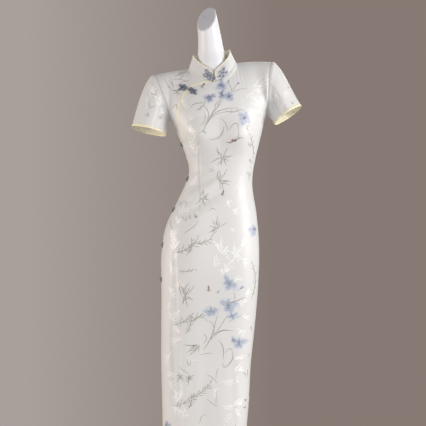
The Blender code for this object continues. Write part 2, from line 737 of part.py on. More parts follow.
def add_panel_bindings(panels):
    """Bound edges: the opening and right side of the front, the slits and the hems."""
    rows = panel_rows()
    slit = np.flatnonzero(UNDERARM_HEIGHT + rows <= SLIT_TOP_HEIGHT + 0.001)
    whole = np.arange(len(rows) - 1)
    for name, panel, end, inner, run in (
        ("opening_binding", "front", 0, 1, whole),
        ("slit_binding_front_left", "front", -1, -2, slit),
        ("slit_binding_back_left", "back", -1, -2, slit),
        ("slit_binding_back_right", "back", 0, 1, slit),
    ):
        points, normals = panels[panel]
        edge, further = points[run, end].copy(), points[run, inner].copy()
        # The strip starts just above the hem's own binding.
        for line in (edge, further):
            line[0] += unit(line[1] - line[0]) * (BINDING_WIDTH + CONTACT)
        width = None if name == "opening_binding" else BINDING_WIDTH
        add_strip(name, edge, further, normals[run, end], width=width)
    for panel, (points, normals) in panels.items():
        add_strip(f"hem_binding_{panel}", points[0], points[1], normals[0])


def armhole(side):
    """Points and normals round an armhole, from under the arm up the front and down the
    back."""
    shares = np.array(UPPER_SHARES)
    way = [(shares, False), (shares[-2:0:-1], True)]
    points = [cloth(share, 90.0 * side, back) for share, back in way]
    normals = [outward(share, np.full_like(share, 90.0 * side), back) for share, back in way]
    return np.concatenate(points), np.concatenate(normals)


def armhole_facing(side, back):
    """Normals of the sleeve along one panel's armhole, upwards."""
    sleeve = next(values for values in SLEEVES.values() if values[0] == side)
    normals = sleeve_surface(*sleeve, [])[1][0]
    top = len(UPPER_SHARES)
    return np.concatenate([normals[:1], normals[:top - 2:-1]]) if back else normals[:top]


def sleeve_surface(side, cuff_x, cuff_z, half_width, lean, folds):
    """Grid of a sleeve's middle surface, row 0 at the armhole, and its outward normals."""
    start, _ = armhole(side)
    count = len(start)
    turn = np.arange(count) * 2 * np.pi / count             # 0 under the arm, pi on top
    lean, pitch = math.radians(lean), math.radians(CUFF_PITCH)
    axis = unit(np.array([side * math.sin(lean), -math.sin(pitch), -math.cos(lean)]))
    across = unit(np.cross((0, 1, 0), axis)) * side         # towards the body
    depth = unit(np.cross(axis, across))
    depth = depth * np.sign(-depth[1])                      # towards the front
    middle = np.array([cuff_x, CUFF_FORWARD, cuff_z])
    low = (1 + np.cos(turn)) / 2                            # 1 under the arm, 0 on top
    end = (middle + across * (half_width * np.cos(turn))[:, None]
           + depth * (CUFF_HALF_DEPTH * np.sin(turn))[:, None])
    out = unit(np.array([side * 1.0, 0.0, 0.05]))
    leave = out * (CAP_PUSH * (1 - low) + 0.02)[:, None] + axis * (0.05 * low)[:, None]
    arrive = axis * (CUFF_PULL * (1 - low) + 0.05 * low)[:, None]
    rows = np.array(SLEEVE_ROWS)[:, None, None]
    grid = hermite(rows, start, end, leave, arrive)
    normals = unit(np.cross(np.roll(grid, -1, 1) - np.roll(grid, 1, 1),
                            np.gradient(grid, axis=0)))
    heart = grid.mean(axis=1, keepdims=True)
    normals = normals * np.sign(np.sum(normals * (grid - heart), axis=-1, keepdims=True))
    degrees = np.degrees(turn)
    fade = ease(np.array(SLEEVE_ROWS) / 0.35)
    for angle, height, width in folds:
        off = (degrees - angle + 180) % 360 - 180
        shape = np.exp(-((off / width) ** 2)) * height * MM
        grid = grid + normals * (shape[None, :] * fade[:, None])[..., None]
    return grid, normals


def add_sleeves():
    """Two set-in sleeves with a rounded head, and the binding round each cuff."""
    for name, sleeve in SLEEVES.items():
        folds = [fold[1:] for fold in SLEEVE_FOLDS if fold[0] == name]
        grid, normals = sleeve_surface(*sleeve, folds)
        points, facing = armhole(sleeve[0])
        layers = [grid + normals * (CLOTH / 2), grid - normals * (CLOTH / 2)]
        # The ring is closed, so its seam is worked out on three turns and the middle kept.
        count = len(points)
        thrice = [np.tile(part, (3, 1)) for part in (points, normals[0], facing, grid[1])]
        for layer, edge in zip(layers, seam(*thrice)):
            layer[0] = edge[count:2 * count]
        add_wall(f"sleeve_{name}", *layers, "satin", ring=True)
        add_strip(f"cuff_binding_{name}", layers[0][-1], layers[0][-2], normals[-1], ring=True,
                  width=CUFF_BINDING_WIDTH)


def collar_point(angle, share, out=0.0):
    """Point and normal of the collar: angle 0 at the centre front, share 0 at its base."""
    angle, share = np.broadcast_arrays(np.asarray(angle, float), np.asarray(share, float))

    def middle(angle, share):
        s, c = np.sin(angle), np.cos(angle)
        x, y, z = neckline(angle)
        reach = np.where(c > 0, COLLAR_TOP_MIDDLE - COLLAR_TOP_FRONT,
                         COLLAR_TOP_BACK - COLLAR_TOP_MIDDLE)
        fullness = np.where(s < 0, COLLAR_FULLNESS[-1], COLLAR_FULLNESS[1])
        top_x = COLLAR_TOP_HALF_WIDTH * s * (1 + fullness * np.maximum(c, 0))
        top = (top_x, COLLAR_TOP_MIDDLE - reach * c, z + COLLAR_HEIGHT)
        away = COLLAR_MEAN_RADIUS * np.abs(np.arctan2(s, c))
        corner = np.sin(np.pi / 2 * np.clip(away / COLLAR_CORNER, 0, 1)) ** COLLAR_CORNER_POWER
        rise = corner * share
        return stand(x + (top[0] - x) * rise, y + (top[1] - y) * rise, z + (top[2] - z) * rise)

    points = middle(angle, share)
    # The collar's slope is read where it has its whole height.
    turned = np.where(np.abs(np.sin(angle / 2)) < 0.3, np.sign(np.sin(angle) + 1e-9) * 0.61, angle)
    round_way = middle(angle + 0.13, 0 * share) - middle(angle - 0.13, 0 * share)
    up = middle(turned, 0 * share + 1) - middle(turned, 0 * share)
    up = up - round_way * (np.sum(up * round_way, -1) / np.sum(round_way**2, -1))[..., None]
    normals = unit(np.cross(round_way, up))
    return points + normals * out, normals


def add_collar():
    """The stand collar, open at the front with rounded corners, and its bound edge."""
    half = np.radians(COLLAR_HALF_ANGLES)
    angles = np.concatenate([half, [np.pi], 2 * np.pi - half[::-1]])
    shares = np.array(COLLAR_ROWS)[:, None]
    points, normals = collar_point(angles, shares)
    layers = [points + normals * (COLLAR_CLOTH / 2), points - normals * (COLLAR_CLOTH / 2)]
    turned = np.degrees(np.arctan2(np.sin(angles), np.cos(angles)))
    front = np.abs(turned) <= 90
    column = np.where(front, turned, np.sign(turned) * 180 - turned) * NECKLINE_COLUMN / 90
    ones = np.ones_like(column)
    panels = np.where(front[:, None], outward(ones, column, False), outward(ones, column, True))
    # It stands a little higher where the front comes down from the under-front.
    middle = np.exp(-((turned / 14) ** 2))[:, None]
    gap = CONTACT * (1.5 + 2.5 * middle)
    edges = seam(points[0], normals[0], panels, points[-1], COLLAR_CLOTH, gap)
    for layer, edge in zip(layers, edges):
        layer[0] = edge
    add_wall("collar", *layers, "satin")
    # The binding lies square to the rounded corners, and upright round the neck.
    edge = layers[0][-1]
    square = edge - unit(np.cross(normals[-1], np.gradient(edge, axis=0)))
    corner = (np.abs(turned) < COLLAR_SQUARE_UP_TO)[:, None]
    run = slice(1, -1)
    add_strip("collar_binding", edge[run], np.where(corner, square, layers[0][-2])[run],
              normals[-1][run], width=COLLAR_BINDING_WIDTH, seat=COLLAR_BINDING_SEAT)


# ======================================================================================
# Knot buttons
# ======================================================================================

def solid_under(names):
    """A search tree of the named objects' faces."""
    points = []
    faces = []
    for name in names:
        mesh = bpy.data.objects[name].data
        base = len(points)
        points += [vertex.co.copy() for vertex in mesh.vertices]
        faces += [[base + index for index in face.vertices] for face in mesh.polygons]
    return BVHTree.FromPolygons(points, faces)


def turned_by(away, along, across):
    """dx and dy of places along and across a direction in degrees."""
    c, s = math.cos(math.radians(away)), math.sin(math.radians(away))
    return along * c - across * s, along * s + across * c


def highest(tree, place, halves, away=0.0):
    """How high what lies under an oval patch stands above the plain surface."""
    reach, around = np.meshgrid(np.linspace(0, 1, 5), np.arange(16) * math.pi / 8)
    along, across = reach * np.cos(around) * halves[0], reach * np.sin(around) * halves[1]
    dx, dy = turned_by(away, along.ravel(), across.ravel())
    above = place(dx, dy, BUTTON_PROBE)
    down = unit(place(dx, dy, 0.0) - above)
    hits = [tree.ray_cast(Vector(start), Vector(way), 2 * BUTTON_PROBE)[3]
            for start, way in zip(above, down)]
    return max(BUTTON_PROBE - hit for hit in hits if hit is not None)


def flower_outline(turn):
    """Radius of the flower of cord loops, as a share of its whole radius."""
    return 0.45 + 0.55 * np.abs(np.cos(FLOWER_LOOPS / 2 * turn)) ** 0.8


def add_flower(name, place, away, halves, tree):
    """A flower of cord loops, a lobed plate laid on the cloth. place(dx, dy, out) gives
    world points; away is the direction of its length, in degrees from +x."""
    bm = bmesh.new()
    base = highest(tree, place, halves, away) + CONTACT
    turns = np.arange(FLOWER_POINTS) * 2 * math.pi / FLOWER_POINTS

    def ring(scale, out):
        reach = flower_outline(turns) * scale
        along, across = reach * np.cos(turns) * halves[0], reach * np.sin(turns) * halves[1]
        points = place(*turned_by(away, along, across), base + out)
        return [bm.verts.new(point) for point in points]

    low = ring(1.0, 0.0)
    rim = ring(0.97, FLOWER_THICK * 0.55)
    crest = ring(0.70, FLOWER_THICK)
    bottom, top = [bm.verts.new(place(0.0, 0.0, base + out)) for out in (0.0, FLOWER_THICK / 2)]
    for i in range(FLOWER_POINTS):
        k = (i + 1) % FLOWER_POINTS
        bm.faces.new((low[i], low[k], rim[k], rim[i]))
        bm.faces.new((rim[i], rim[k], crest[k], crest[i]))
        bm.faces.new((crest[i], crest[k], top))
        bm.faces.new((low[k], low[i], bottom))
    add_object(name, bm, "button_cord")


def add_knot(name, place, radius, tree):
    """The ball knot that joins the two halves of a button."""
    bm = bmesh.new()
    bmesh.ops.create_icosphere(bm, subdivisions=2, radius=radius)
    out = highest(tree, place, (radius, radius)) + CONTACT + radius
    bmesh.ops.translate(bm, verts=bm.verts, vec=Vector(place(0.0, 0.0, out)))
    add_object(name, bm, "button_cord")


def on_cloth(row, column):
    """place() for a button centred on the front at a row and column."""
    step = 0.01
    wide = np.linalg.norm(plain(row, column + 1, False) - plain(row, column - 1, False)) / 2
    tall = np.linalg.norm(plain(row + step, column, False) - plain(row, column, False)) / step
    return lambda dx, dy, out: cloth(row + dy / tall, column + dx / wide, False, out)


def round_side(row, middle):
    """place() that carries on round the right side seam: dx grows towards the front, and
    is 0 at a distance of middle from the seam."""
    wide = np.linalg.norm(plain(row, -86.0, False) - plain(row, -90.0, False)) / 4

    def place(dx, dy, out):
        column = -90 + np.abs(middle + dx) / wide
        ahead = np.asarray(middle + dx >= 0)[..., None]
        return np.where(ahead, cloth(row + dy, column, False, out),
                        cloth(row + dy, column, True, out))
    return place


def on_collar(angle, share):
    """place() for a button centred on the collar."""
    def place(dx, dy, out):
        turned = angle + dx / COLLAR_MEAN_RADIUS
        return collar_point(turned, share + dy / COLLAR_HEIGHT, out)[0]
    return place


def add_buttons():
    """One button at the neck, one on the chest and five down the right side."""
    collar = solid_under(["collar", "collar_binding", "front", "under_front"])
    for half, (angle, share, away) in NECK_FLOWERS.items():
        place = on_collar(angle, share)
        add_flower(f"button_neck_{half}", place, away, FLOWER_HALVES["neck"], collar)
    add_knot("button_neck_knot", on_cloth(*locate(*NECK_KNOT)), KNOT_RADIUS,
             solid_under(["collar", "front", "under_front", "opening_binding"]))
    # Chest: the upper half on the under-front, the lower half on the front.
    panels = solid_under(["front", "under_front", "opening_binding"])
    for name, spot, away in (("upper", CHEST_UPPER, 172), ("lower", CHEST_LOWER, -12)):
        place = on_cloth(*locate(*spot))
        add_flower(f"button_chest_{name}", place, away, FLOWER_HALVES["chest"], panels)
    add_knot("button_chest_knot", on_cloth(*locate(*CHEST_KNOT)), KNOT_RADIUS, panels)
    # Side: each button straddles the seam.
    sides = solid_under(["front", "back", "under_front", "opening_binding"])
    for number, height in enumerate(SIDE_BUTTON_HEIGHTS, 1):
        row = height - UNDERARM_HEIGHT
        for label, reach, away in (("front", SIDE_REACH, 0), ("back", -SIDE_REACH, 180)):
            add_flower(f"button_side_{number}_{label}", round_side(row, reach), away,
                       FLOWER_HALVES["side"], sides)
        add_knot(f"button_side_{number}_knot", round_side(row, 0.0), SIDE_KNOT_RADIUS, sides)


# ======================================================================================
# Dress form and stand
# ======================================================================================

def form_gap(row):
    """How far the form's skin lies below the cloth's middle at each row."""
    chest = FORM_CHEST_GAP + (FORM_BODY_GAP - FORM_CHEST_GAP) * ease(-row / 0.16)
    return chest + (FORM_SHOULDER_GAP - FORM_CHEST_GAP) * ease((row - 0.80) / 0.20)


def form_skin(rows, columns, back):
    """Grid of the form's skin under the cloth."""
    rows, columns = np.broadcast_arrays(rows[:, None], columns)
    gap = form_gap(rows)
    return plain(rows, columns, back) - outward(rows, columns, back) * gap[..., None]


def neck_rings(first, angles):
    """Rings from the form's neckline up the neck column to its slanting cut."""
    s, c = np.sin(angles), np.cos(angles)
    x, y, base = neckline(angles)

    def column_ring(height):
        half_width = smooth(NECK_COLUMN, 1, height / MM) * MM
        middle = smooth(NECK_COLUMN, 2, height / MM) * MM
        half_depth = smooth(NECK_COLUMN, 3, height / MM) * MM
        return half_width * s, middle - half_depth * c, height

    rings = [first]
    for share, rise in ((0.55, 0.0015), (0.9, 0.0065)):
        inner_x, inner_y, _ = column_ring(base + rise)
        rings.append(stand(x + (inner_x - x) * share, y + (inner_y - y) * share, base + rise))
    level = np.full(len(angles), NECK_LEVEL_HEIGHT)
    rings.append(stand(*column_ring(base + (level - base) * 0.5)))
    rings.append(stand(*column_ring(level)))
    cut = np.full(len(angles), CUT_HEIGHT)
    middle = smooth(NECK_COLUMN, 2, CUT_HEIGHT / MM) * MM
    for _ in range(12):
        x, y, _ = column_ring(cut)
        cut = CUT_HEIGHT + CUT_RISE_SIDE * x + CUT_RISE_BACK * (y - middle)
    for share in (0.35, 0.7, 1.0):
        rings.append(stand(*column_ring(level + (cut - level) * share)))
    return rings


def add_form():
    """Torso, shoulder caps and neck as one smooth closed body, and the neck's cap plate."""
    rows = np.array([h * MM - UNDERARM_HEIGHT for h in FORM_HEIGHTS] + UPPER_SHARES)
    waist_up = len(FORM_HEIGHTS)
    columns = back_columns(rows)
    front = form_skin(rows, columns, False)
    back = form_skin(rows, columns, True)
    seam_line = (front + back) / 2
    on_neck = np.abs(columns[-1]) < NECKLINE_COLUMN - 0.1
    for end in (0, -1):
        front[:waist_up + 1, end] = back[:waist_up + 1, end] = seam_line[:waist_up + 1, end]
    front[-1, ~on_neck] = back[-1, ~on_neck] = seam_line[-1, ~on_neck]
    # Round the lower edge in.
    middle = seam_line[0].mean(axis=0)
    for grid in (front, back):
        grid[0, :, :2] = middle[:2] + (grid[0, :, :2] - middle[:2]) * 0.93
    bm = bmesh.new()

    def add_quads(grid, ring=False):
        lines = [[bm.verts.new(point) for point in line] for line in grid]
        for low, high in zip(lines, lines[1:]):
            for j in range(len(low) if ring else len(low) - 1):
                k = (j + 1) % len(low)
                bm.faces.new((low[j], low[k], high[k], high[j]))
        return lines

    add_quads(front)
    add_quads(back)
    bottom = np.concatenate([front[0], back[0, -2:0:-1]])
    bm.faces.new([bm.verts.new(point) for point in bottom])
    # A rounded cap closes each armhole.
    for end, side in ((0, -1), (-1, 1)):
        loop = np.concatenate([front[waist_up:, end], back[-2:waist_up:-1, end]])
        heart = loop.mean(axis=0)
        rings = [loop]
        for scale, bulge in ((0.82, 0.007), (0.5, 0.013)):
            rings.append(heart + (loop - heart) * scale + np.array([side * bulge, 0, 0]))
        lines = add_quads(np.array(rings), ring=True)
        tip = bm.verts.new(heart + np.array([side * 0.015, 0, 0]))
        for j, vert in enumerate(lines[-1]):
            bm.faces.new((vert, lines[-1][(j + 1) % len(loop)], tip))
    # The neck: from the centre front round by the left shoulder.
    neck = np.abs(columns[-1]) <= NECKLINE_COLUMN + 0.1
    ring_front, ring_back = front[-1, neck], back[-1, neck]
    centre = len(ring_front) // 2
    first = np.concatenate([ring_front[centre:], ring_back[-2::-1], ring_front[1:centre]])
    angles = np.arange(len(first)) * 2 * np.pi / len(first)
    rings = neck_rings(first, angles)
    add_quads(np.array(rings), ring=True)
    bm.faces.new([bm.verts.new(point) for point in rings[-1]])
    bmesh.ops.remove_doubles(bm, verts=bm.verts, dist=1e-5)
    add_object("dress_form", bm, "form_white")

    # Cap plate on the cut, a little smaller than the cut's outline.
    rim = rings[-1]
    heart = rim.mean(axis=0)
    up = unit(np.cross(rim[len(rim) // 4] - heart, rim[len(rim) // 2] - heart))
    up = up * np.sign(up[2])
    reach = rim - heart
    reach = reach * (1 - CAP_PLATE_INSET / np.linalg.norm(reach, axis=1, keepdims=True))
    bm = bmesh.new()
    sheets = [[bm.verts.new(heart + step + up * out) for step in reach]
              for out in (CONTACT, CONTACT + CAP_PLATE_THICK)]
    for i in range(len(rim)):
        k = (i + 1) % len(rim)
        bm.faces.new((sheets[0][i], sheets[0][k], sheets[1][k], sheets[1][i]))
    bm.faces.new(sheets[0])
    bm.faces.new(sheets[1])
    add_object("neck_cap", bm, "form_cap")


def add_stand():
    """Round base plate, socket, pole, and the flange under the form."""
    bevel = 2.5 * MM
    add_turned("base_plate", [
        (BASE_RADIUS, 0.0),
        (BASE_RADIUS, BASE_THICK - bevel),
        (BASE_RADIUS - bevel, BASE_THICK),
    ], "steel")
    socket_low = BASE_THICK + CONTACT
    socket_top = socket_low + SOCKET_HEIGHT
    add_turned("pole_socket", [
        (SOCKET_RADIUS, socket_low),
        (SOCKET_RADIUS, socket_top - bevel),
        (SOCKET_RADIUS - bevel, socket_top),
    ], "steel")
    flange_top = FORM_BOTTOM_HEIGHT - CONTACT
    flange_low = flange_top - FLANGE_THICK
    add_turned("pole", [
        (POLE_RADIUS, socket_top + CONTACT),
        (POLE_RADIUS, flange_low - CONTACT),
    ], "steel")
    add_turned("form_flange", [(FLANGE_RADIUS, flange_low), (FLANGE_RADIUS, flange_top)], "steel")


def main():
    for old in list(bpy.data.objects):
        bpy.data.objects.remove(old, do_unlink=True)
    add_stand()
    add_form()
    add_panel_bindings(add_panels())
    add_sleeves()
    add_collar()
    add_buttons()


main()
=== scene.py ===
"""The looks of a short-sleeved cheongsam on its dress form and stand.

The cloth is read by rows and columns, from the same named sizes as the solids:
  row     from the hem to the underarm line it is a height below that line, in metres
          (so it is negative); above the line it is the share of the way, 0 to 1,
          from the underarm line to the armhole top, shoulder seam or neckline
  column  an angle in degrees, -90 at the wearer's right side seam, 0 at the centre,
          90 at the wearer's left side seam, on the front and on the back alike
"""
import math

import bmesh
import bpy
import numpy as np
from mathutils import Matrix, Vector
from mathutils.bvhtree import BVHTree


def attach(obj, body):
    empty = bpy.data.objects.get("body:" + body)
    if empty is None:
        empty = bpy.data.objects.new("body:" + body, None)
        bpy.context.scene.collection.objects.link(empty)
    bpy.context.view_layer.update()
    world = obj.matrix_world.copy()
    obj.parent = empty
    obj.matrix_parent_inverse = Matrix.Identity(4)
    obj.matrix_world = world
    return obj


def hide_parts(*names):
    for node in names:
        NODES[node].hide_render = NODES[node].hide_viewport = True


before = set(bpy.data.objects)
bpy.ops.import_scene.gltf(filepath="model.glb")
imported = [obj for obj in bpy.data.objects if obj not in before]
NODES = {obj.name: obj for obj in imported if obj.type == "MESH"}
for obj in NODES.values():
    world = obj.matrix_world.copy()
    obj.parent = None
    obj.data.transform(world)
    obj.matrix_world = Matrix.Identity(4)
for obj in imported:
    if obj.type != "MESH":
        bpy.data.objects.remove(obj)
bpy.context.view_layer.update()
MM = 0.001

# ---- the photograph's frame ----
PICTURE_SIZE = 426
PIXEL = 3.2 * MM                # at the plane of the side seams
CAMERA_DISTANCE = 4.0
CAMERA_X = 0.0096
CAMERA_Z = 0.9194
SENSOR_MM = 36.0

# ---- stage ----
SOFT_LIGHT = 0.36
SOFT_COLOUR = (238, 236, 236)
# The wall is painted lighter on the left and darker on the right: a painted fall of light across it.
WALL_LEFT = (169, 160, 155)
WALL_RIGHT = (135, 122, 116)
WALL_FROM, WALL_TO = -0.147, 0.05   # sideways part of the view, where the painted fall of light turns the wall from lighter to darker
FLOOR_SIDES = 96
FLOOR_DROP = 0.6 * MM
FLOOR_RADII = (0.02, 0.3, 0.6, 0.8, 1.0)
FLOOR_FADE = (0.98, 0.62)       # gone at the first radius, whole at the second
FLOOR_COLOURS = ((214, 211, 207), (208, 205, 201))
# Lamps: name, place, goal, size, power, colour.
LIGHTS = [
    ("key", (2.7, -1.3, 1.5), (0.05, 0.0, 1.15), 1.7, 78.0, (1.0, 0.985, 0.975)),
    ("left_side", (-2.8, -0.8, 1.05), (0.0, 0.0, 0.95), 1.3, 42.0, (1.0, 0.885, 0.79)),
    ("front", (-0.3, -3.4, 0.9), (0.0, 0.0, 0.75), 1.6, 25.0, (0.95, 0.985, 1.0)),
    ("rear", (0.6, 2.6, 2.2), (0.0, 0.0, 1.0), 1.6, 19.0, (1.0, 0.98, 0.96)),
]

# ---- cloth and seams ----
CLOTH = 1.5 * MM
COLLAR_CLOTH = 1.8 * MM
# Points of the panels' outer faces: rows below and above the underarm line, and columns.
ROWS_BELOW, ROWS_ABOVE, COLUMNS = 421, 57, 133
UNDER_ROWS_BELOW, UNDER_COLUMNS = 33, 105
# Columns of each panel before they are read more densely.
FRONT_COARSE, BACK_COARSE, UNDER_COARSE = 17, 21, 14
SEARCH_COLUMNS = 361
EDGE_PULL = 6                   # the front's free edge shifts the first sixth of its columns
SPACED_ROW = 0.8                # from this row up its columns are spaced by degrees alone
SLEEVE_ROWS, SLEEVE_COLUMNS = 65, 176
UNDERLAP_RISE = 2.1 * MM
RISE_START_HEIGHT = 1.082
RISE_BEYOND = 1.0               # degrees beyond the under-front's edge: it fades from here,
RISE_SPREAD = 14                # over so many more degrees
NECK_GAP = 0.4                  # degrees between the two fronts beside the neckline
UNDERLAP_BOTTOM_HEIGHT = 1.147
UNDERLAP_TOP_ROW = 0.87
HEM_HEIGHT = 0.142
UNDERARM_HEIGHT = 1.226
SLIT_TOP_HEIGHT = 0.330
SLIT_SPREAD = 7.0 * MM
SLIT_PIPING_OVER = 3.0 * MM     # its bindings run on above the slit's top
NECKLINE_COLUMN = 30.0
CORNER_EASE = 12.0              # degrees: columns beside the neck are mixed this far
CORNER_FADE = 0.25
CORNER_SIDE = 24
CORNER_MIX = [(-1, 1 / 9), (-0.5, 2 / 9), (0, 3 / 9), (0.5, 2 / 9), (1, 1 / 9)]
SHOULDER_TIP = (0.188, 0.012, 1.3815)
SHOULDER_RISE = 2.5 * MM
NECK_SIDE = (0.0763, 0.012, 1.3900)
NECK_FRONT_DEPTH = 0.072
NECK_BACK_DEPTH = 0.054
NECK_FRONT_DROP = 0.0512
NECK_BACK_DROP = 0.002
# Torso sections: a level superellipse, its halves of unequal depth. Sizes in mm.
# Rows of height, half_width, front_depth, back_depth, squareness.
TORSO = [
    (142, 128.8, 84, 84, 2.6), (244.4, 132.8, 87, 90, 2.6), (340.4, 137.9, 89, 96, 2.6),
    (436.4, 141.6, 91, 102, 2.6), (551.6, 147.7, 94, 110, 2.6), (647.6, 151.7, 96, 117, 2.55),
    (724.4, 154.4, 98, 122, 2.5), (782, 155.2, 98, 124, 2.45), (820.4, 152.8, 97, 122, 2.4),
    (858.8, 148.8, 96, 117, 2.4), (897.2, 140.6, 94, 110, 2.35), (935.6, 128.6, 91, 101, 2.3),
    (974, 116.2, 87, 92, 2.25), (1012.4, 105.3, 83, 84, 2.2), (1050.8, 101, 82, 80, 2.2),
    (1089.2, 107, 86, 82, 2.2), (1127.6, 117.4, 94, 87, 2.25), (1166, 131.4, 102, 92, 2.3),
    (1198, 142.4, 102, 95, 2.35), (1226, 153, 99, 96, 2.4),
]

# Stance: where the middle of the figure is at each height, and how far the row leans,
# the wearer's left side up. The weight is on one leg, so the waist swings sideways.
# Rows of height, centre_x, tilt_degrees.
STANCE = [
    (142, -18.4, 0), (244.4, -16.6, 0), (340.4, -13.8, 0), (436.4, -12.3, 0), (551.6, -6.2, 0),
    (647.6, -1.6, 0), (724.4, 0.5, 0), (782, 1.3, 0), (820.4, 3, 0), (858.8, 4.8, 0), (897.2, 9.4, 0),
    (935.6, 16.6, 0), (974, 22.1, 0), (1012.4, 29.1, 0), (1050.8, 35.7, 0), (1089.2, 36.6, 0),
    (1127.6, 35.2, 0), (1166, 30.9, 0.6), (1198, 28, 2), (1226, 27.4, 3.6), (1281.2, 23, 4.2),
    (1329.2, 15.7, 6), (1379.4, 9.6, 6.3), (1390, 8, 6.9), (1431.6, 2.6, 9.5), (1460.4, 0.3, 9),
    (1486, -2.2, 8.5), (1511.6, -5.8, 8.5), (1535.6, -9.6, 8.5), (1578.8, -16, 8.5),
]

# Bust and seat: soft mounds on the general figure, mirrored left and right.
#             mid_x, height, rise, spread_x, spread_z   (mm)
MOUNDS = {
    "front": (66, 1166, 17, 46, 52),
    "back": (70, 800, 7, 55, 75),
}

# How strongly a bodice column is pulled outwards and upwards, in metres, where it leaves
# the underarm line and where it arrives: at the side seam, inside it, and at the middle.
LEAVE_SIDE = (0.235, 0.075)
LEAVE_INNER = (0.004, 0.15)
ARRIVE_SIDE = (0.195, 0.045)
ARRIVE_INNER = (0.135, 0.028)
ARRIVE_MIDDLE = (0.055, 0.095)
ARRIVE_SIDEWAYS = 0.028
INNER_FROM = 34                 # degrees of column from the side seam
MIDDLE_FROM = NECKLINE_COLUMN + 14
MIDDLE_SPAN = NECKLINE_COLUMN + 6
LEAVE_FLARE = 0.10              # how far it follows the side seam's slope
FLARE_HEIGHTS = (1212.0, 1236.4)   # mm: the side seam's slope is read between these

# The front's free edge as seen from the front, from the right side seam below the arm up
# to the middle of the neckline. Sizes in mm.
# Rows of height, x.
OPENING = [
    (1142, -90.5), (1160, -87.5), (1180, -88), (1208, -97), (1243, -97.5), (1271, -94), (1287, -86.5),
    (1306, -72), (1318, -59.5), (1325, -45), (1330, -29), (1333.6, -12), (1338, 14.5),
]

# Largest folds, as soft troughs (negative) and ridges between two points of the front
# view. A fold fades at both ends.
FOLD_FADE = 0.3                 # share of the length
FOLD_SIDE = 14                  # degrees over which folds flatten to the side seam
# Rows of x0, z0, x1, z1, height, width, in mm.
FOLDS = {
    "front": [
        (-66, 1024, 26, 1066, 2.6, 11), (-74, 996, 38, 1052, -2.8, 12), (-80, 960, 50, 1030, 3, 13),
        (-88, 926, 62, 1000, -3.2, 15), (-86, 884, 72, 962, 2.6, 17), (-122, 640, -112, 250, -4, 11),
        (-101, 610, -95, 220, 3, 10),
    ],
    "back": [
        (-60, 1040, 60, 1012, -3, 12), (-74, 1004, 74, 976, 3, 14), (-30, 700, -26, 200, -3, 20),
        (50, 700, 42, 200, -3, 22),
    ],
}

# ---- sleeves ----
# The cuff's middle is at cuff_x, cuff_z, and half_width is half its width, in metres.
#          side  cuff_x    cuff_z    half_width  lean_degrees
SLEEVES = {
    "right": (-1, -0.1944, 1.1804, 0.0553, 14.6),
    "left": (1, 0.2482, 1.2304, 0.0505, 34.6),
}
CUFF_HALF_DEPTH = 0.0450
CUFF_FORWARD = -0.026           # the cuff's middle lies this far in front of the side seam
CUFF_PITCH = 9.0                # degrees: the cuff opens down and a little forward
CAP_PUSH = 0.074                # how strongly the sleeve head springs out of the shoulder
CAP_RISE = 0.05                 # and how much that way rises
CUFF_PULL = 0.17
UNDERARM_PUSH = 0.02            # the same under the arm, outwards and along the sleeve
UNDERARM_PULL = 0.05

# Sleeve folds, which deepen towards the cuff: angle round the sleeve from its underside,
# positive over the front and negative over the back.
# Rows of angle, height_mm, width_degrees.
SLEEVE_FOLDS = {
    "left": [
        (34, 2.2, 15), (64, -4.4, 16), (98, 2.6, 17), (130, -1.8, 17), (-60, -3, 20),
    ],
    "right": [
        (58, -2.4, 17), (92, 2, 17), (-64, -3, 20),
    ],
}

SLEEVE_PUFF = 1.8 * MM          # the head stands up beside the armhole seam,
PUFF_AT = 0.10                  # at this share of the sleeve's length
PUFF_SPREAD = 0.06
SLEEVE_FADE = 0.35              # a sleeve fold grows over this share from the armhole
ARM_SHARES = [0.0, 0.1, 0.2, 0.3, 0.39, 0.46, 0.53, 0.61, 0.73, 0.87, 0.94, 1.0]

# ---- collar ----
COLLAR_HEIGHT = 0.043
COLLAR_TOP_HALF_WIDTH = 0.0567
COLLAR_TOP_FRONT = -0.044
COLLAR_TOP_BACK = 0.058
COLLAR_TOP_MIDDLE = 0.008
COLLAR_FULLNESS = {-1: 0.12, 1: 0.42}   # the top edge stands wider in front on each side
COLLAR_CORNER = 0.034           # the front corners round off over this length
COLLAR_CORNER_POWER = 0.26
COLLAR_MEAN_RADIUS = 0.068
COLLAR_EDGE_ANGLE = math.radians(2.6)
COLLAR_NEAR = 0.3               # within this sine of half the angle from the centre front
COLLAR_FACING = 0.61            # it faces as it does at this angle
COLLAR_STEP = 0.13
COLLAR_ROWS, COLLAR_HALF_COLUMNS = 17, 121
COLLAR_CROWDING = 1.5           # its columns crowd towards the front corners
COLLAR_LOWEST = 0.01            # share of the height where the cloth starts
COLLAR_BOUND_FROM = 5           # row where the binding starts at each front corner

# ---- buttons: flowers of cord loops, and ball knots ----
# Half a flower's length, towards the knot, and half its width.
FLOWER_HALVES = {
    "neck": (19.0 * MM, 17.5 * MM),
    "chest": (19.0 * MM, 13.5 * MM),
    "side": (10.0 * MM, 10.0 * MM),
}
SIDE_REACH = 15.0 * MM
SIDE_BUTTON_HEIGHTS = [1.139, 1.0272, 0.9292, 0.8175, 0.7074]
# Neck flowers: angle round the collar, share of its height, direction of one loop (degrees).
#         half     angle  share  away
NECK_FLOWERS = {
    "right": (-0.240, 0.38, 160),
    "left": (0.385, 0.31, 20),
}
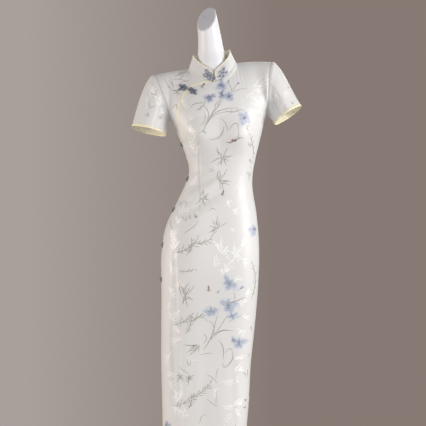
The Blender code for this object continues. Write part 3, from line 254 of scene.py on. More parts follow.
# Chest flowers: x, height, direction of one loop (degrees).
CHEST_FLOWERS = {
    "upper": (-0.0865, 1.3155, 172),
    "lower": (-0.0525, 1.3010, -12),
}
LOCATE_WIDE = 2.2               # half the chest's width in half neck widths, about
LOCATE_STEP = (0.002, 0.2)      # row and degrees
LOCATE_ROUNDS = 40
LOCATE_REACH = 30               # steps that a round moves at most
SIDE_SPAN = 4.0                 # degrees
SEAT_RADIUS = 1.2 * MM
KNOT_RADIUS = 4.0 * MM
SIDE_KNOT_RADIUS = 3.4 * MM
CORD_HALF = 0.9 * MM
CORD_SIDES = 9
CORD_FLATTER = 0.92
CORD_TWISTS = 16
CORD_TWIST_DEPTH = 0.07
PETAL_TURNS = (180, 116, 52, -52, -116)   # degrees from the way to the knot
# A petal's outer and inner loop: near end, far end and half width as shares of the flower,
# how thick, and how much higher it lies (mm).
PETAL_LOOPS = [(0.12, 1.0, 0.31, 1.0, 0.0), (0.40, 0.76, 0.10, 0.7, 0.25)]
PETAL_POINTS = 44
PETAL_SWING, PETAL_SHORTER = 0.05, 0.03     # how unlike each other the petals are
LOOP_NARROW, LOOP_SWELL = 0.62, 0.38        # a loop is narrower near the coil
COIL_LOOPS = [(0.20, 1.9), (0.07, 2.4)]     # radius as a share, height in half cords
COIL_POINTS = 28
COIL_THICK = 0.85
KNOT_POINTS, KNOT_SIDES = 30, 7
KNOT_REACH = 0.80               # a strand's middle lies at this share of the radius,
KNOT_WIDEN = 0.02               # and each way round is this much wider than the one before
KNOT_STRAND = 0.24
KNOT_STEPS = (-0.40, 0.0, 0.40)
KNOT_TILT = [(0.86, -0.36, 0.36), (0.48, 0.80, -0.35), (-0.17, 0.47, 0.87)]
PIPING_SECTION = [              # a binding round a cloth edge: inwards and outwards, mm
    (5.0, 0.78), (4.75, 1.25), (3.9, 1.60), (2.6, 1.72), (1.3, 1.66), (0.0, 1.38),
    (-0.75, 0.67), (-1.0, 0.0), (-0.75, -0.57), (0.0, -1.13), (2.0, -1.18), (3.6, -0.78),
]
CUFF_PIPING_WIDER = 1.5         # times as wide round a cuff
COLLAR_PIPING_SCALE = 0.72

# ---- dress form and stand ----
FORM_BOTTOM_HEIGHT = 0.700
FORM_ROWS_BELOW, FORM_ROWS_ABOVE, FORM_COLUMNS = 61, 31, 91
FORM_BOTTOM_RINGS = (0.02, 0.5, 0.9, 1.0)   # shares of the bottom's size
NECK_EDGE = 0.1                 # degrees to spare beside the neckline's last column
NECK_RINGS = 25
NECK_PARTS = 3                  # rings between two of them
CUT_ROUNDS = 12
CUT_RINGS = (1.0, 0.6, 0.02)
ARM_CAP_RINGS = 9
SMALLEST = 0.01                 # share of its size that a closed end keeps
WELD_REACH = 0.02 * MM
TURNED_SIDES = 96
TURNED_SOFT_POINTS = 7
TURNED_HEART = 0.3              # share of the radius where the flat ends start
TURNED_CHAMFER = 0.5 * MM
FORM_BOTTOM_SCALES = [(0, 0.955), (1, 0.985)]   # its lowest rows draw in
ARM_CAP_BULGE = 0.016
FORM_SHOULDER_GAP = CLOTH / 2 + 0.6 * MM
FORM_SHOULDER_ROW = 0.80        # the gap narrows above this row
FORM_CHEST_GAP = 4.5 * MM
FORM_CHEST_REACH = 0.16         # metres below the underarm line
FORM_BODY_GAP = 8.0 * MM
# Neck column: height, half width, middle and half depth. Sizes in mm.
NECK_COLUMN = [
    (1400, 50, 7, 50), (1434.8, 42.2, 6, 45.5), (1460.4, 39, 4, 43.5), (1486, 36.5, 2, 41.5),
    (1511.6, 34.6, 0, 40), (1535.6, 33, -2, 38.5), (1578.8, 31.4, -5, 37),
]
NECK_FILLET = [(0.55, 0.0015), (0.9, 0.0065)]   # share of the way in, and height
CUT_HEIGHT = 1.5405             # the neck's cut here, and how it slants up
CUT_RISE_SIDE = 0.55
CUT_RISE_BACK = 1.0
CAP_PLATE_INSET = 1.4 * MM
# The plate's section: how far in from its edge and how high over its underside, mm.
CAP_PLATE_PROFILE = [(40, 0), (1.6, 0), (0, 0.3), (0, 1.4), (0.25, 1.8), (0.7, 2), (8, 2), (40, 2)]
CONTACT = 0.3 * MM
BASE_RADIUS = 0.170
BASE_THICK = 0.010
SOCKET_RADIUS = 0.026
SOCKET_HEIGHT = 0.036
POLE_RADIUS = 0.0125
FLANGE_RADIUS = 0.045
FLANGE_THICK = 0.008

# Small creases, which the solids leave out: soft troughs (negative) and ridges between
# two points of the front view, or of the back. A crease fades at both ends.
CREASE_FADE = 0.35              # share of the length
CREASE_BEND = 0.03              # a ridge bows by this share of its length,
TROUGH_BEND = -0.6              # and a trough by this much of that
# Rows of x0, z0, x1, z1, height, width, in mm.
CREASES = {
    "front": [
        (-52, 1150, -44, 1030, 1.4, 9), (-119, 900, -113, 260, -2.2, 5.5), (-109, 880, -104, 240, 1.5, 5),
        (-98, 560, -84, 160, -1.4, 6), (-84, 968, 20, 1046, -1.6, 7), (-92, 930, 46, 1016, 1.7, 8),
        (-96, 902, 34, 980, -1.8, 8), (-90, 862, 30, 936, 1.6, 9), (-70, 838, 46, 900, -1.4, 10),
        (-84, 1060, -30, 1108, -1.2, 6), (-88, 1080, -36, 1134, 1.2, 6), (40, 700, 20, 420, 1.2, 15),
        (-20, 560, -26, 200, -1.1, 14), (36, 420, 44, 160, 1.3, 14), (-22, 1150, -22, 1030, 0.9, 9),
        (3, 1328, 44, 1294, -1.2, 5), (8, 1322, 40, 1286, 0.8, 4), (-74, 1294, -44, 1262, -1.2, 5),
        (-68, 1288, -40, 1246, 0.8, 5), (188, 1236, 120, 1268, -1.6, 7), (170, 1216, 112, 1236, -1.2, 7),
        (-30, 992, 24, 1040, -1.2, 6), (-64, 912, 4, 984, -1.3, 7), (-48, 900, 30, 958, 1, 8),
        (60, 1010, 108, 1046, -1, 7), (64, 980, 116, 1004, -0.9, 7), (60, 1090, 110, 1112, -0.8, 8),
        (-60, 610, -66, 250, -1.2, 12), (60, 560, 70, 190, -1.2, 14), (10, 480, 12, 170, 0.9, 16),
        (96, 520, 96, 170, 1.1, 10),
    ],
    "back": [
        (-70, 1060, 20, 1044, -1.2, 7), (88, 1050, 6, 1030, -1.2, 7), (-84, 1000, 30, 984, 1.2, 9),
        (90, 1010, 10, 990, -1, 9), (40, 660, 52, 220, -1.3, 14), (-52, 640, -60, 200, 1.1, 14),
        (-92, 600, -98, 200, -1.3, 12), (0, 1330, 4, 1150, -0.8, 9),
    ],
}

# ---- woven figures, placed by where they are seen in the photograph's frame ----
FIGURE_PIXEL = 3.14             # mm to a pixel on the front of the dress
FIGURE_LIFT = 0.12 * MM         # a figure lies this far off the cloth
FIGURE_OVER = 0.06 * MM         # and each colour this far over the one before
FIGURE_STEP = 1.6 * MM          # a figure does not bridge a step deeper than this
FIGURE_FACING = 0.38            # nor lies where the cloth turns away from the eye
STEM_WIDE = 1.5                 # mm
FADED_BELOW = 200.0             # blossoms are paler below here, and beyond here
FADED_BEYOND = 240.0
# A blossom's inner colour, its petals' width, how much larger than written, vein in mm.
FADED_BLOOM = ("mist", 0.92, 1.38, 0.9)
FRESH_BLOOM = ("blue", 1.05, 1.12, 1.4)
VEIN_FAN = (-17, 4, 22)         # degrees from the petal's middle
FAN_ROOT = 0.16                 # a fan's roots lie this share of a leaf from its place
SPRAY_MORE = 1.3                # a spray has more and longer leaves than a fan,
SPRAY_LONGER = 1.05
SPRAY_LEAN = 14                 # which lean by these degrees, and by
SPRAY_SWEEP = 0.20              # this share of the sweep,
SPRAY_WIDEST = 130              # at most this wide
TWIG_BOW = 0.10                 # a twig bows by this share of its length
TWIG_LEAN = 34                  # degrees
BEHIND_SHIFT = (7.0, 19.0)      # pixels: the cloth's repeat falls elsewhere on the back
FIGURE_SLOPE = 2.2              # deeper steps are a slope if as wide as this share
STEM_WANDER = 0.112             # pixels that a stem sways
STEM_SWAYS = 9                  # radians of that sway along a stem
STEM_POINTS, LEAF_POINTS, TWIG_POINTS = 17, 8, 13
STROKE_FULL = 0.7               # how slowly a stroke swells from its ends: less is fuller
LEAF_TIP = 0.06                 # width at a leaf's ends, as a share
TWIG_FIRST, TWIG_SPAN = 0.12, 0.84      # where a twig's leaves start, and how far they go
PETAL_COLUMNS = 9
PETAL_BELLY = 1.35              # a petal is widest beyond its middle,
PETAL_FULL = 0.62               # and full rather than pointed,
PETAL_WAVE, PETAL_WAVES = 0.12, 11      # with a wavy outline
PETAL_TIP = 0.12
PETAL_NOTCH = 0.10              # how far a petal's sides fall back, as a share of its length
INNER_LONG, INNER_BROAD = 0.80, 0.68    # a blossom's inner petals beside its outer ones
HEART_SIZE = (3.0, 2.6)         # mm
BUD_STALK = (6, 1.2)            # mm
BUD_VEIN = (0.6, 1.3)           # share of the bud's length, and mm
PETAL_SHARES = np.array([0, 0.07, 0.15, 0.24, 0.34, 0.44, 0.54, 0.64, 0.74, 0.83, 0.91, 0.97, 1])
# A bird's leaves: kind, angle, length_mm, wide_mm.
BIRD_LEAVES = [
    ("rust", 0, 11, 3.4), ("rust", 158, 9, 1.8), ("rust", 118, 8, 2), ("grey", -146, 10, 1.6),
    ("grey", 34, 7, 1.4),
]
# How much wider than written the strokes of each colour are.
WIDER = {"white": 0.74, "grey": 1.15, "pale": 1, "mist": 1, "blue": 1, "deep": 0.9, "rust": 1.3}

# Rows of wide_mm, then x and y of the start, the bend and the end.
STEMS = {
    "grey": [
        (1.9, 205, 128.5, 209, 119, 215.5, 108), (1.6, 207, 124, 214, 112, 223, 101),
        (1.8, 208, 122, 219, 111, 239, 108), (1.4, 209, 120, 220, 113, 232, 112),
        (1.8, 204, 126, 208.5, 115, 204.5, 106), (1.5, 200, 126, 205, 119, 204, 112),
        (1.4, 217, 109, 219, 103, 223, 99), (1.6, 215, 110, 216, 104, 220, 100),
        (1.8, 190.5, 107.5, 196, 103.5, 205, 103), (1.2, 231, 94, 231, 88, 228, 82),
        (1.2, 231, 93, 238, 90, 247, 88), (1.2, 232, 92, 235, 87, 238, 84),
        (1.9, 229, 130, 236, 123, 238.5, 131), (1.5, 238.5, 131, 238, 137, 234, 140),
        (1.5, 209, 139, 217, 138, 224, 129), (1.3, 220, 118, 226, 124, 227, 132),
        (1.3, 217, 140, 222, 134, 224, 126), (1.3, 181, 203, 185, 201.5, 187, 206),
        (1.3, 209, 211, 213, 208.5, 216, 211), (1.4, 184, 233, 192, 228, 199, 221),
        (1.4, 171, 219, 170.5, 224, 172, 230), (1.4, 193, 323, 200, 316, 207.5, 322),
        (1.5, 207.5, 321, 213, 324, 213.5, 334), (1.9, 203.5, 350, 208, 343, 213, 333),
        (1.6, 211, 340, 214, 328, 218.5, 313), (1.5, 212, 336, 220, 327, 227, 315),
        (1.6, 211, 340, 218, 332, 229, 330), (1.3, 214, 337, 222, 331, 234, 331),
        (1.4, 228, 322, 236, 318, 244, 314), (1.4, 203, 334, 206.5, 338, 203.5, 344),
        (2, 218.5, 340, 223, 348, 223, 359), (1.4, 225, 353, 230, 348.5, 232.5, 353),
        (2.2, 232.5, 353, 231.5, 361, 224, 368), (1.3, 222, 363, 224, 366, 223, 367.5),
        (1.4, 233.5, 291, 235, 297, 233, 302), (1.4, 207, 375, 213, 378, 217.5, 384),
        (1.3, 216, 379, 216.5, 373, 218.5, 368), (1.4, 207, 399, 213, 404, 218, 406),
        (1.2, 216, 404, 216.5, 396, 218, 390), (1.5, 180, 367, 184, 371, 190, 374),
        (1.3, 200, 424, 201, 418, 205.5, 414), (1.3, 200, 354.5, 207, 353.5, 212, 353),
        (1.2, 173, 80, 181, 79.5, 189, 83), (1.2, 176, 86, 183, 82, 190, 80),
    ],
    "rust": [
        (1.4, 229, 303, 236, 301, 245, 297.5),
    ],
    "white": [
        (2, 218, 253, 232, 252, 247, 262), (1.8, 234, 252, 240, 247, 245, 241),
        (1.8, 219, 406, 228, 406, 236, 404), (1.8, 218, 383, 226, 381, 234, 381),
        (1.6, 192, 361.5, 195, 360, 198, 361.5), (1.8, 252, 92, 261, 87, 271, 79),
    ],
}

# Fans of leaves: rows of x, y, angle, sweep, count, length_mm, wide_mm.
BURSTS = {
    "grey": [
        (203.5, 131, 90, 320, 7, 15, 1.3), (221, 157, 130, 150, 6, 36, 1.6),
        (222.5, 157.5, -50, 170, 9, 34, 1.6), (219, 181, 60, 110, 8, 42, 1.6),
        (220, 181.5, -40, 80, 6, 34, 1.5), (209.5, 171, 20, 20, 3, 21, 1.3),
        (201.5, 198, 60, 60, 4, 36, 1.5), (202, 198, -70, 170, 9, 27, 1.5),
        (186, 221, 112, 8, 3, 18, 1.4), (190.5, 219, 106, 8, 3, 17, 1.4), (195, 218, 75, 60, 4, 15, 1.6),
        (218, 227, 100, 120, 8, 34, 1.5), (217.5, 228, 215, 60, 6, 34, 1.5),
        (184, 296, 78, 70, 8, 48, 1.6), (184.5, 297, -70, 110, 8, 31, 1.6),
        (196, 346, 200, 60, 8, 39, 1.6), (198, 345, 250, 40, 4, 31, 1.6),
        (182, 376, 210, 110, 8, 25, 1.8), (186.5, 377, -30, 90, 8, 28, 1.7),
        (189, 366, 95, 24, 3, 22, 1.4), (178.5, 91, 200, 120, 8, 22, 1.5),
        (246, 126, -30, 110, 4, 20, 1.3), (250, 147, 96, 30, 4, 18, 1.3),
        (250.5, 163, 84, 40, 4, 18, 1.3), (249, 176, 96, 40, 4, 18, 1.3), (251, 330, 60, 80, 4, 17, 1.6),
        (250, 357, 70, 50, 3, 17, 1.7), (246, 376, 100, 40, 3, 25, 1.4), (158, 118, 25, 40, 4, 20, 1.4),
        (156, 95, 150, 60, 4, 17, 1.3), (288, 87, 20, 90, 4, 11, 1.3), (292, 104, 60, 60, 3, 13, 1.3),
        (172, 88, 128, 50, 5, 40, 1.3), (184, 73, 200, 50, 5, 32, 1.3), (149, 108, 60, 60, 4, 22, 1.2),
        (146, 116, 30, 60, 4, 18, 1.2), (176, 104, 250, 60, 5, 24, 1.3),
    ],
    "deep": [
        (245.5, 401, 100, 40, 3, 10, 2), (245, 408, 130, 80, 3, 9, 1.8),
    ],
    "white": [
        (184, 106, 80, 120, 8, 26, 2.4), (191, 133, 70, 120, 8, 24, 2.4),
        (195, 152, 110, 130, 9, 29, 2.6), (187.5, 186, 60, 140, 8, 24, 2.4),
        (160.5, 103, 110, 160, 10, 29, 2.4), (161, 109, -60, 80, 6, 19, 2.2),
        (152.5, 92, 70, 120, 8, 22, 2.2), (258, 90, 50, 110, 8, 29, 2.2), (266, 83, 60, 130, 8, 24, 2.2),
        (260, 101, 30, 90, 6, 24, 1.8), (262, 110, 40, 80, 4, 19, 1.8), (285, 96, 70, 100, 6, 19, 2),
        (294, 112, 40, 100, 6, 19, 2), (228, 205, 70, 90, 6, 20, 3), (236, 213, 90, 170, 9, 18, 3.2),
        (177, 222, 80, 200, 9, 18, 2.8), (231, 230.5, 20, 100, 6, 14, 2.4),
        (245, 228, 70, 150, 8, 19, 2.6), (222, 252, 96, 120, 10, 41, 3.2),
        (226, 254, -50, 60, 4, 22, 2.8), (233.5, 254, 70, 120, 9, 31, 3.2),
        (236, 256, -60, 90, 6, 22, 2.8), (244, 260, -50, 120, 6, 22, 2.8),
        (243, 245, 60, 110, 6, 24, 2.6), (224, 273, 60, 190, 12, 29, 2.8),
        (236, 281, 30, 100, 6, 24, 2.6), (174.5, 247, 80, 140, 9, 31, 2.6),
        (175, 254, -70, 120, 6, 19, 2.4), (171.5, 295, 70, 120, 8, 26, 2.6),
        (169.5, 303, -80, 90, 4, 17, 2.4), (174, 319, 80, 130, 9, 31, 2.8),
        (176, 327, -70, 110, 6, 22, 2.4), (246, 294, 40, 100, 6, 22, 2.4),
        (243, 316, -10, 100, 6, 22, 2.4), (244, 331, 190, 100, 6, 24, 2.6),
        (236.5, 359, 20, 50, 6, 24, 3), (236.5, 370, 10, 120, 9, 26, 3), (237, 377, -80, 60, 4, 22, 2.6),
        (226, 382, 0, 80, 8, 29, 2), (226, 407, 0, 70, 6, 26, 2), (236, 404, 20, 110, 9, 26, 3),
        (236, 410, -60, 80, 6, 22, 2.8), (168, 362, 100, 60, 6, 31, 2.4), (169, 375, 20, 120, 8, 22, 2.6),
        (176, 399, 90, 140, 10, 31, 3), (176.5, 407, -70, 110, 8, 29, 2.8),
        (219, 433, 80, 160, 9, 26, 2.8), (150, 87, -62, 50, 6, 38, 2.4), (157, 93, -72, 50, 6, 40, 2.2),
        (146, 106, 66, 60, 5, 24, 2), (255, 88, 28, 80, 7, 44, 2.4), (249, 97, -12, 80, 7, 36, 2.2),
        (276, 92, -70, 60, 6, 30, 2), (282, 106, 80, 90, 6, 24, 2), (187, 121, 60, 150, 7, 26, 2),
        (192, 143, 80, 120, 7, 26, 2), (181, 212, 40, 120, 7, 26, 2.2), (172, 237, 60, 150, 7, 28, 2.2),
        (171, 272, 70, 150, 8, 28, 2.2), (176, 285, 30, 120, 6, 22, 2), (174, 343, 60, 140, 8, 28, 2.2),
        (172, 388, 70, 150, 8, 28, 2.2), (183, 415, 50, 140, 7, 24, 2.2), (241, 196, 80, 120, 6, 24, 2),
        (247, 212, 100, 120, 6, 24, 2), (214, 264, 60, 140, 8, 30, 2.2), (228, 265, 20, 140, 8, 30, 2.2),
        (242, 305, 60, 140, 8, 26, 2.2), (214, 395, 60, 140, 7, 26, 2.2), (226, 420, 60, 140, 7, 26, 2.2),
        (190, 441, 60, 140, 9, 26, 2.6),
    ],
}

# Rows of x and y of the start and the end, leaves, length_mm, wide_mm.
TWIGS = {
    "grey": [
        (173, 253, 197, 241, 14, 26, 1.4), (194, 243, 211, 239, 9, 22, 1.5),
        (186, 256, 192, 240, 9, 20, 1.4), (172, 325, 192, 315, 12, 24, 1.4),
        (186, 322, 207, 309, 10, 24, 1.5), (185, 334, 191, 320, 8, 20, 1.3),
        (172, 406, 193, 396, 12, 24, 1.5), (188, 398, 210, 384, 14, 24, 1.6),
        (187, 410, 192, 397, 9, 21, 1.4), (248, 182, 250, 134, 18, 14, 1.1),
        (251, 300, 252, 262, 10, 15, 1.2), (196, 110, 205, 103, 4, 15, 1.2),
        (178, 270.5, 195, 269, 7, 14, 1.3), (226, 111, 242, 109, 7, 15, 1.3),
        (222, 440, 236, 428, 9, 21, 1.4),
    ],
    "rust": [
        (226, 142.5, 241, 137, 5, 12, 1.2),
    ],
}

# Rows of x, y, size_mm, angle, petals, deep.
BLOOMS = [
    (209.5, 98, 20.5, 100, 5, 1), (221.5, 94.5, 18.5, 60, 4, 0.9), (229, 96.5, 21.8, 20, 5, 0.6),
    (221.5, 85, 22.4, 150, 5, 0.9), (244.5, 118, 22, 70, 6, 0.5), (229, 283, 23.8, 110, 5, 0.8),
    (228.5, 306, 26.4, 80, 5, 0.7), (211, 311.5, 21.1, 95, 5, 1.1), (232, 316, 17.2, 200, 4, 0.6),
    (239, 343, 22.4, 80, 5, 0.7), (233.5, 340, 11.9, 100, 3, 0.9), (254.5, 229, 19.8, 110, 5, 0.5),
    (177, 201.5, 14.5, 60, 4, 1.1), (166.5, 425, 17.2, 80, 4, 1.1),
]

# Rows of x, y, angle, length_mm, wide_mm.
BUDS = [
    (228, 83, 75, 10, 6), (236.5, 84.5, 35, 13, 6), (239.5, 289.5, 38, 19, 8), (213.5, 97, 20, 9, 5),
    (219, 291, 230, 10, 7),
]

# Rows of x, y, angle.
BIRDS = [
    (233.5, 140.5, 18), (203, 86, 60), (209, 289, 100), (223, 193.5, 80),
]

# Sleeve creases that the solids leave out, as for the folds.
SLEEVE_CREASES = {
    "left": [
        (62, -1.2, 6), (98, 1.2, 7), (140, -1.2, 8), (-90, 1.3, 9), (-130, -1.2, 8),
    ],
    "right": [
        (38, 1, 7), (76, -1.1, 7), (120, -1, 8), (-96, 1.2, 9), (-132, -1.2, 8),
    ],
}

# Darts, sewn from the bust down past the waist.
# Rows of x0, z0, x1, z1, in mm.
DARTS = {
    "front": [
        (-35.5, 1170, -31, 915),
    ],
    "back": [
        (-40, 1130, -44, 890), (96, 1130, 86, 890),
    ],
}
DART_DEPTH = 1.0 * MM
DART_SHADOW = 0.55               # how dark a dart's painted shadow line is, beside a seam's painted shadow
DART_FADE, DART_SHADOW_FADE = 0.25, 0.1      # shares of its length: for the dart's groove, and for its painted shadow line
# SEWN_WIDE is the width of the painted shadow along seams and darts
SEWN_WIDE = 1.5 * MM
DART_WIDE = 1.5 * SEWN_WIDE
SEAM_START = 0.01               # an armhole's painted seam shadow sets in over this height from below


# ---- Curves and stance ----

def smooth(table, column, at):
    """Reads one column of a table of rows at some heights, on a smooth curve through it."""
    knots = np.array([row[0] for row in table], float)
    values = np.array([row[column] for row in table], float)
    slopes = np.gradient(values, knots)
    at = np.clip(np.asarray(at, float), knots[0], knots[-1])
    i = np.clip(np.searchsorted(knots, at, side="right") - 1, 0, len(knots) - 2)
    span = knots[i + 1] - knots[i]
    t = (at - knots[i]) / span
    return hermite(t, values[i], values[i + 1], slopes[i] * span, slopes[i + 1] * span)


def hermite(t, start, end, start_pull, end_pull):
    """Cubic from start to end, leaving along start_pull and arriving along end_pull."""
    return (
        (2 * t**3 - 3 * t**2 + 1) * start
        + (t**3 - 2 * t**2 + t) * start_pull
        + (-2 * t**3 + 3 * t**2) * end
        + (t**3 - t**2) * end_pull
    )


def ease(t):
    """0 to 1 with level ends."""
    t = np.clip(t, 0.0, 1.0)
    return t * t * (3 - 2 * t)


def fade_ends(along, share):
    """1 on the way from 0 to 1, except that it fades over a share of it at both ends."""
    return ease(along / share) * ease((1 - along) / share)


def bell(away, wide):
    """1 in the middle, falling softly to both sides."""
    return np.exp(-((away / wide) ** 2))


def blend(first, second, share):
    """first where share is 0, second where it is 1."""
    return first * (1 - share) + second * share


def unit(vectors):
    """Vectors scaled to length 1."""
    return vectors / np.maximum(np.linalg.norm(vectors, axis=-1, keepdims=True), 1e-12)


def stand(x, y, height):
    """Puts a point of the upright, symmetrical figure where the leaning stance has it."""
    centre = smooth(STANCE, 1, height / MM) * MM
    tilt = np.radians(smooth(STANCE, 2, height / MM))
    return np.stack([centre + x * np.cos(tilt), y + 0 * x, height + x * np.sin(tilt)], -1)


# ---- The cloth's surface ----

def section(height, angle, back):
    """x and y of the torso at a height and a column, on the upright figure."""
    half_width = smooth(TORSO, 1, height / MM) * MM
    depth = smooth(TORSO, 3 if back else 2, height / MM) * MM
    power = smooth(TORSO, 4, height / MM)
    s, c = np.sin(angle), np.abs(np.cos(angle))
    grow = (np.abs(s) ** power + c**power) ** (-1 / power)
    x = half_width * s * grow
    y = depth * c * grow
    mid_x, mid_z, rise, spread_x, spread_z = MOUNDS["back" if back else "front"]
    mound = bell(np.abs(x) / MM - mid_x, spread_x) * bell(height / MM - mid_z, spread_z)
    y = y + rise * MM * mound * ease(c * 2)
    return x, (y if back else -y)


def neckline(angle):
    """x, y and z of the neckline on the upright figure. The angle is 0 at the centre
    front, a quarter turn at the left shoulder."""
    s, c = np.sin(angle), np.cos(angle)
    depth = np.where(c > 0, NECK_FRONT_DEPTH, NECK_BACK_DEPTH)
    drop = np.where(c > 0, NECK_FRONT_DROP, NECK_BACK_DROP)
    return NECK_SIDE[0] * s, NECK_SIDE[1] - depth * c, NECK_SIDE[2] - drop * c * c


def bodice(share, angle, back):
    """Upright-figure point above the underarm line: each column is one smooth curve."""
    out = 1.0 if back else -1.0
    turn = np.sin(angle)
    side = np.sign(turn)
    degrees = np.abs(np.degrees(angle))
    start_x, start_y = section(np.full_like(angle, UNDERARM_HEIGHT), angle, back)
    # Where the column ends: on the neckline, or on the shoulder seam.
    on_neck = degrees <= NECKLINE_COLUMN
    neck_angle = np.radians(np.minimum(degrees, NECKLINE_COLUMN) * 90 / NECKLINE_COLUMN)
    neck_x, neck_y, neck_z = neckline(np.pi - neck_angle if back else neck_angle)
    along = np.clip((degrees - NECKLINE_COLUMN) / (90 - NECKLINE_COLUMN), 0, 1)
    end = [np.where(on_neck, n, a + (b - a) * along)
           for n, a, b in zip((neck_x, neck_y, neck_z), NECK_SIDE, SHOULDER_TIP)]
    end[2] = end[2] + SHOULDER_RISE * np.sin(np.pi * along)
    end_x = side * end[0]
    # How it leaves the underarm line, and how it arrives.
    inner = ease((90 - degrees) / INNER_FROM)
    centre = ease((MIDDLE_FROM - degrees) / MIDDLE_SPAN)
    low, high = FLARE_HEIGHTS
    flare = (smooth(TORSO, 1, high) - smooth(TORSO, 1, low)) / (high - low)
    leave_y, leave_z = (blend(a, b, inner) for a, b in zip(LEAVE_SIDE, LEAVE_INNER))
    arrive_y, arrive_z = (blend(a, blend(b, c, centre), inner)
                          for a, b, c in zip(ARRIVE_SIDE, ARRIVE_INNER, ARRIVE_MIDDLE))
    x = hermite(share, start_x, end_x, turn * (flare * LEAVE_FLARE * inner),
                side * (ARRIVE_SIDEWAYS * (1 - inner)))
    y = hermite(share, start_y, end[1], out * leave_y, -out * arrive_y)
    z = hermite(share, UNDERARM_HEIGHT, end[2], leave_z, arrive_z)
    return x, y, z


def eased_bodice(share, angle, back):
    """The bodice with the corner beside the neck eased away below the shoulder seam."""
    degrees = np.abs(np.degrees(angle))
    reach = (np.radians(CORNER_EASE) * fade_ends(share, CORNER_FADE)
             * ease((90 - degrees) / CORNER_SIDE))
    parts = [[weight * part for part in bodice(share, angle + reach * step, back)]
             for step, weight in CORNER_MIX]
    return [sum(values) for values in zip(*parts)]


def plain(row, column, back):
    """World point of the cloth without its folds, for arrays of rows and columns."""
    row, column = np.broadcast_arrays(np.asarray(row, float), np.asarray(column, float))
    angle = np.radians(column)
    height = UNDERARM_HEIGHT + np.minimum(row, 0.0)
    x, y = section(height, angle, back)
    upper_x, upper_y, upper_z = eased_bodice(np.clip(row, 0, 1), angle, back)
    above = row > 0
    return stand(np.where(above, upper_x, x), np.where(above, upper_y, y),
                 np.where(above, upper_z, height))


def outward(row, column, back):
    """Unit normals that point out of the dress."""
    small_row, small_column = 0.004, 0.5
    row_high = np.minimum(row + small_row, 1.0)
    right = np.minimum(column + small_column, 90.0)
    left = np.maximum(column - small_column, -90.0)
    across = plain(row, right, back) - plain(row, left, back)
    up = plain(row_high, column, back) - plain(row - small_row, column, back)
    normal = unit(np.cross(across, up))
    return -normal if back else normal


def ridges(points, table, back, fade, bend=0.0):
    """How far a table's folds or creases lift the cloth at some world points of one side."""
    lift = np.zeros(points.shape[:-1])
    for x0, z0, x1, z1, height, width in table["back" if back else "front"]:
        start = np.array([x0, z0]) * MM
        line = np.array([x1, z1]) * MM - start
        length = np.linalg.norm(line)
        line = line / length
        away = points[..., [0, 2]] - start
        along = (away @ line) / length
        bow = length * np.sin(np.pi * np.clip(along, 0, 1)) * (1 if height > 0 else TROUGH_BEND)
        across = away[..., 0] * line[1] - away[..., 1] * line[0] - bow * bend
        lift = lift + height * MM * fade_ends(along, fade) * bell(across, width * MM)
    return lift


def cloth(row, column, back=False, out=0.0):
    """World point of the cloth's middle, moved out of the dress by some distance."""
    row, column = np.broadcast_arrays(np.asarray(row, float), np.asarray(column, float))
    points = plain(row, column, back)
    lift = ridges(points, FOLDS, back, FOLD_FADE) * ease((90 - np.abs(column)) / FOLD_SIDE)
    return points + outward(row, column, back) * (lift + out)[..., None]


# ---- Panels, sleeves and collar as dense grids ----

def spread(coarse, count):
    """Reads each row of a coarse grid at a number of evenly spaced places."""
    at = np.linspace(0, coarse.shape[1] - 1, count)
    first = np.clip(np.floor(at).astype(int), 0, coarse.shape[1] - 2)
    part = at - first
    return coarse[:, first] * (1 - part) + coarse[:, first + 1] * part


def opening_column(rows):
    """Column of the front's free edge at each row: where the row crosses the opening."""
    curve = np.array(OPENING) * MM
    diagonal = [(height + x, height - x) for height, x in curve]
    across = np.linspace(-90, 0, SEARCH_COLUMNS)
    points = plain(np.asarray(rows)[:, None], across, False)
    x, z = points[..., 0], points[..., 2]
    below = smooth(diagonal, 1, z + x) - (z - x)
    found = []
    for line in below:
        first = int(np.argmax(line > 0)) if (line > 0).any() else len(line) - 1
        part = -line[first - 1] / (line[first] - line[first - 1]) if 0 < first else 0.0
        found.append(across[max(first - 1, 0)] + part * (across[1] - across[0]))
    return np.where(np.asarray(rows) >= 1, 0.0, np.minimum(np.array(found), 0.0))


def degree_length(rows, column, back):
    """Length of one degree of column at a column of each row."""
    inner = np.where(np.asarray(column) > 0, column - 1.0, column + 1.0)
    return np.linalg.norm(plain(rows, column, back) - plain(rows, inner, back), axis=-1)


def end_column(rows, back):
    """Column of a panel's last points at each row: the side seam, or a slit's edge."""
    below = np.clip((SLIT_TOP_HEIGHT - UNDERARM_HEIGHT - rows)
                    / (SLIT_TOP_HEIGHT - HEM_HEIGHT), 0, 1)
    return 90 - SLIT_SPREAD * below / degree_length(rows, 90.0, back)


def front_columns(rows):
    """Some columns of the front at each row, from its free edge to the left side seam."""
    end = end_column(rows, False)
    start = np.maximum(opening_column(rows), -end)[:, None]
    share = np.linspace(0, 1, FRONT_COARSE)
    upper = 90 * share + start * np.clip(1 - EDGE_PULL * share, 0, 1)
    even = start + (end[:, None] - start) * share
    return even + (upper - even) * ease(rows / SPACED_ROW)[:, None]


def back_columns(rows):
    """Evenly spaced columns of the back at each row."""
    return np.linspace(-1, 1, BACK_COARSE) * end_column(rows, True)[:, None]


def under_columns(rows):
    """Columns of the under-front, from the right side seam to just under the front. Beside
    the neckline the two meet edge to edge."""
    front = front_columns(rows)
    reach = np.where((rows < UNDERLAP_TOP_ROW)[:, None], front[:, 1:2], front[:, :1] - NECK_GAP)
    return -90 + (reach + 90) * np.linspace(0, 1, UNDER_COARSE)


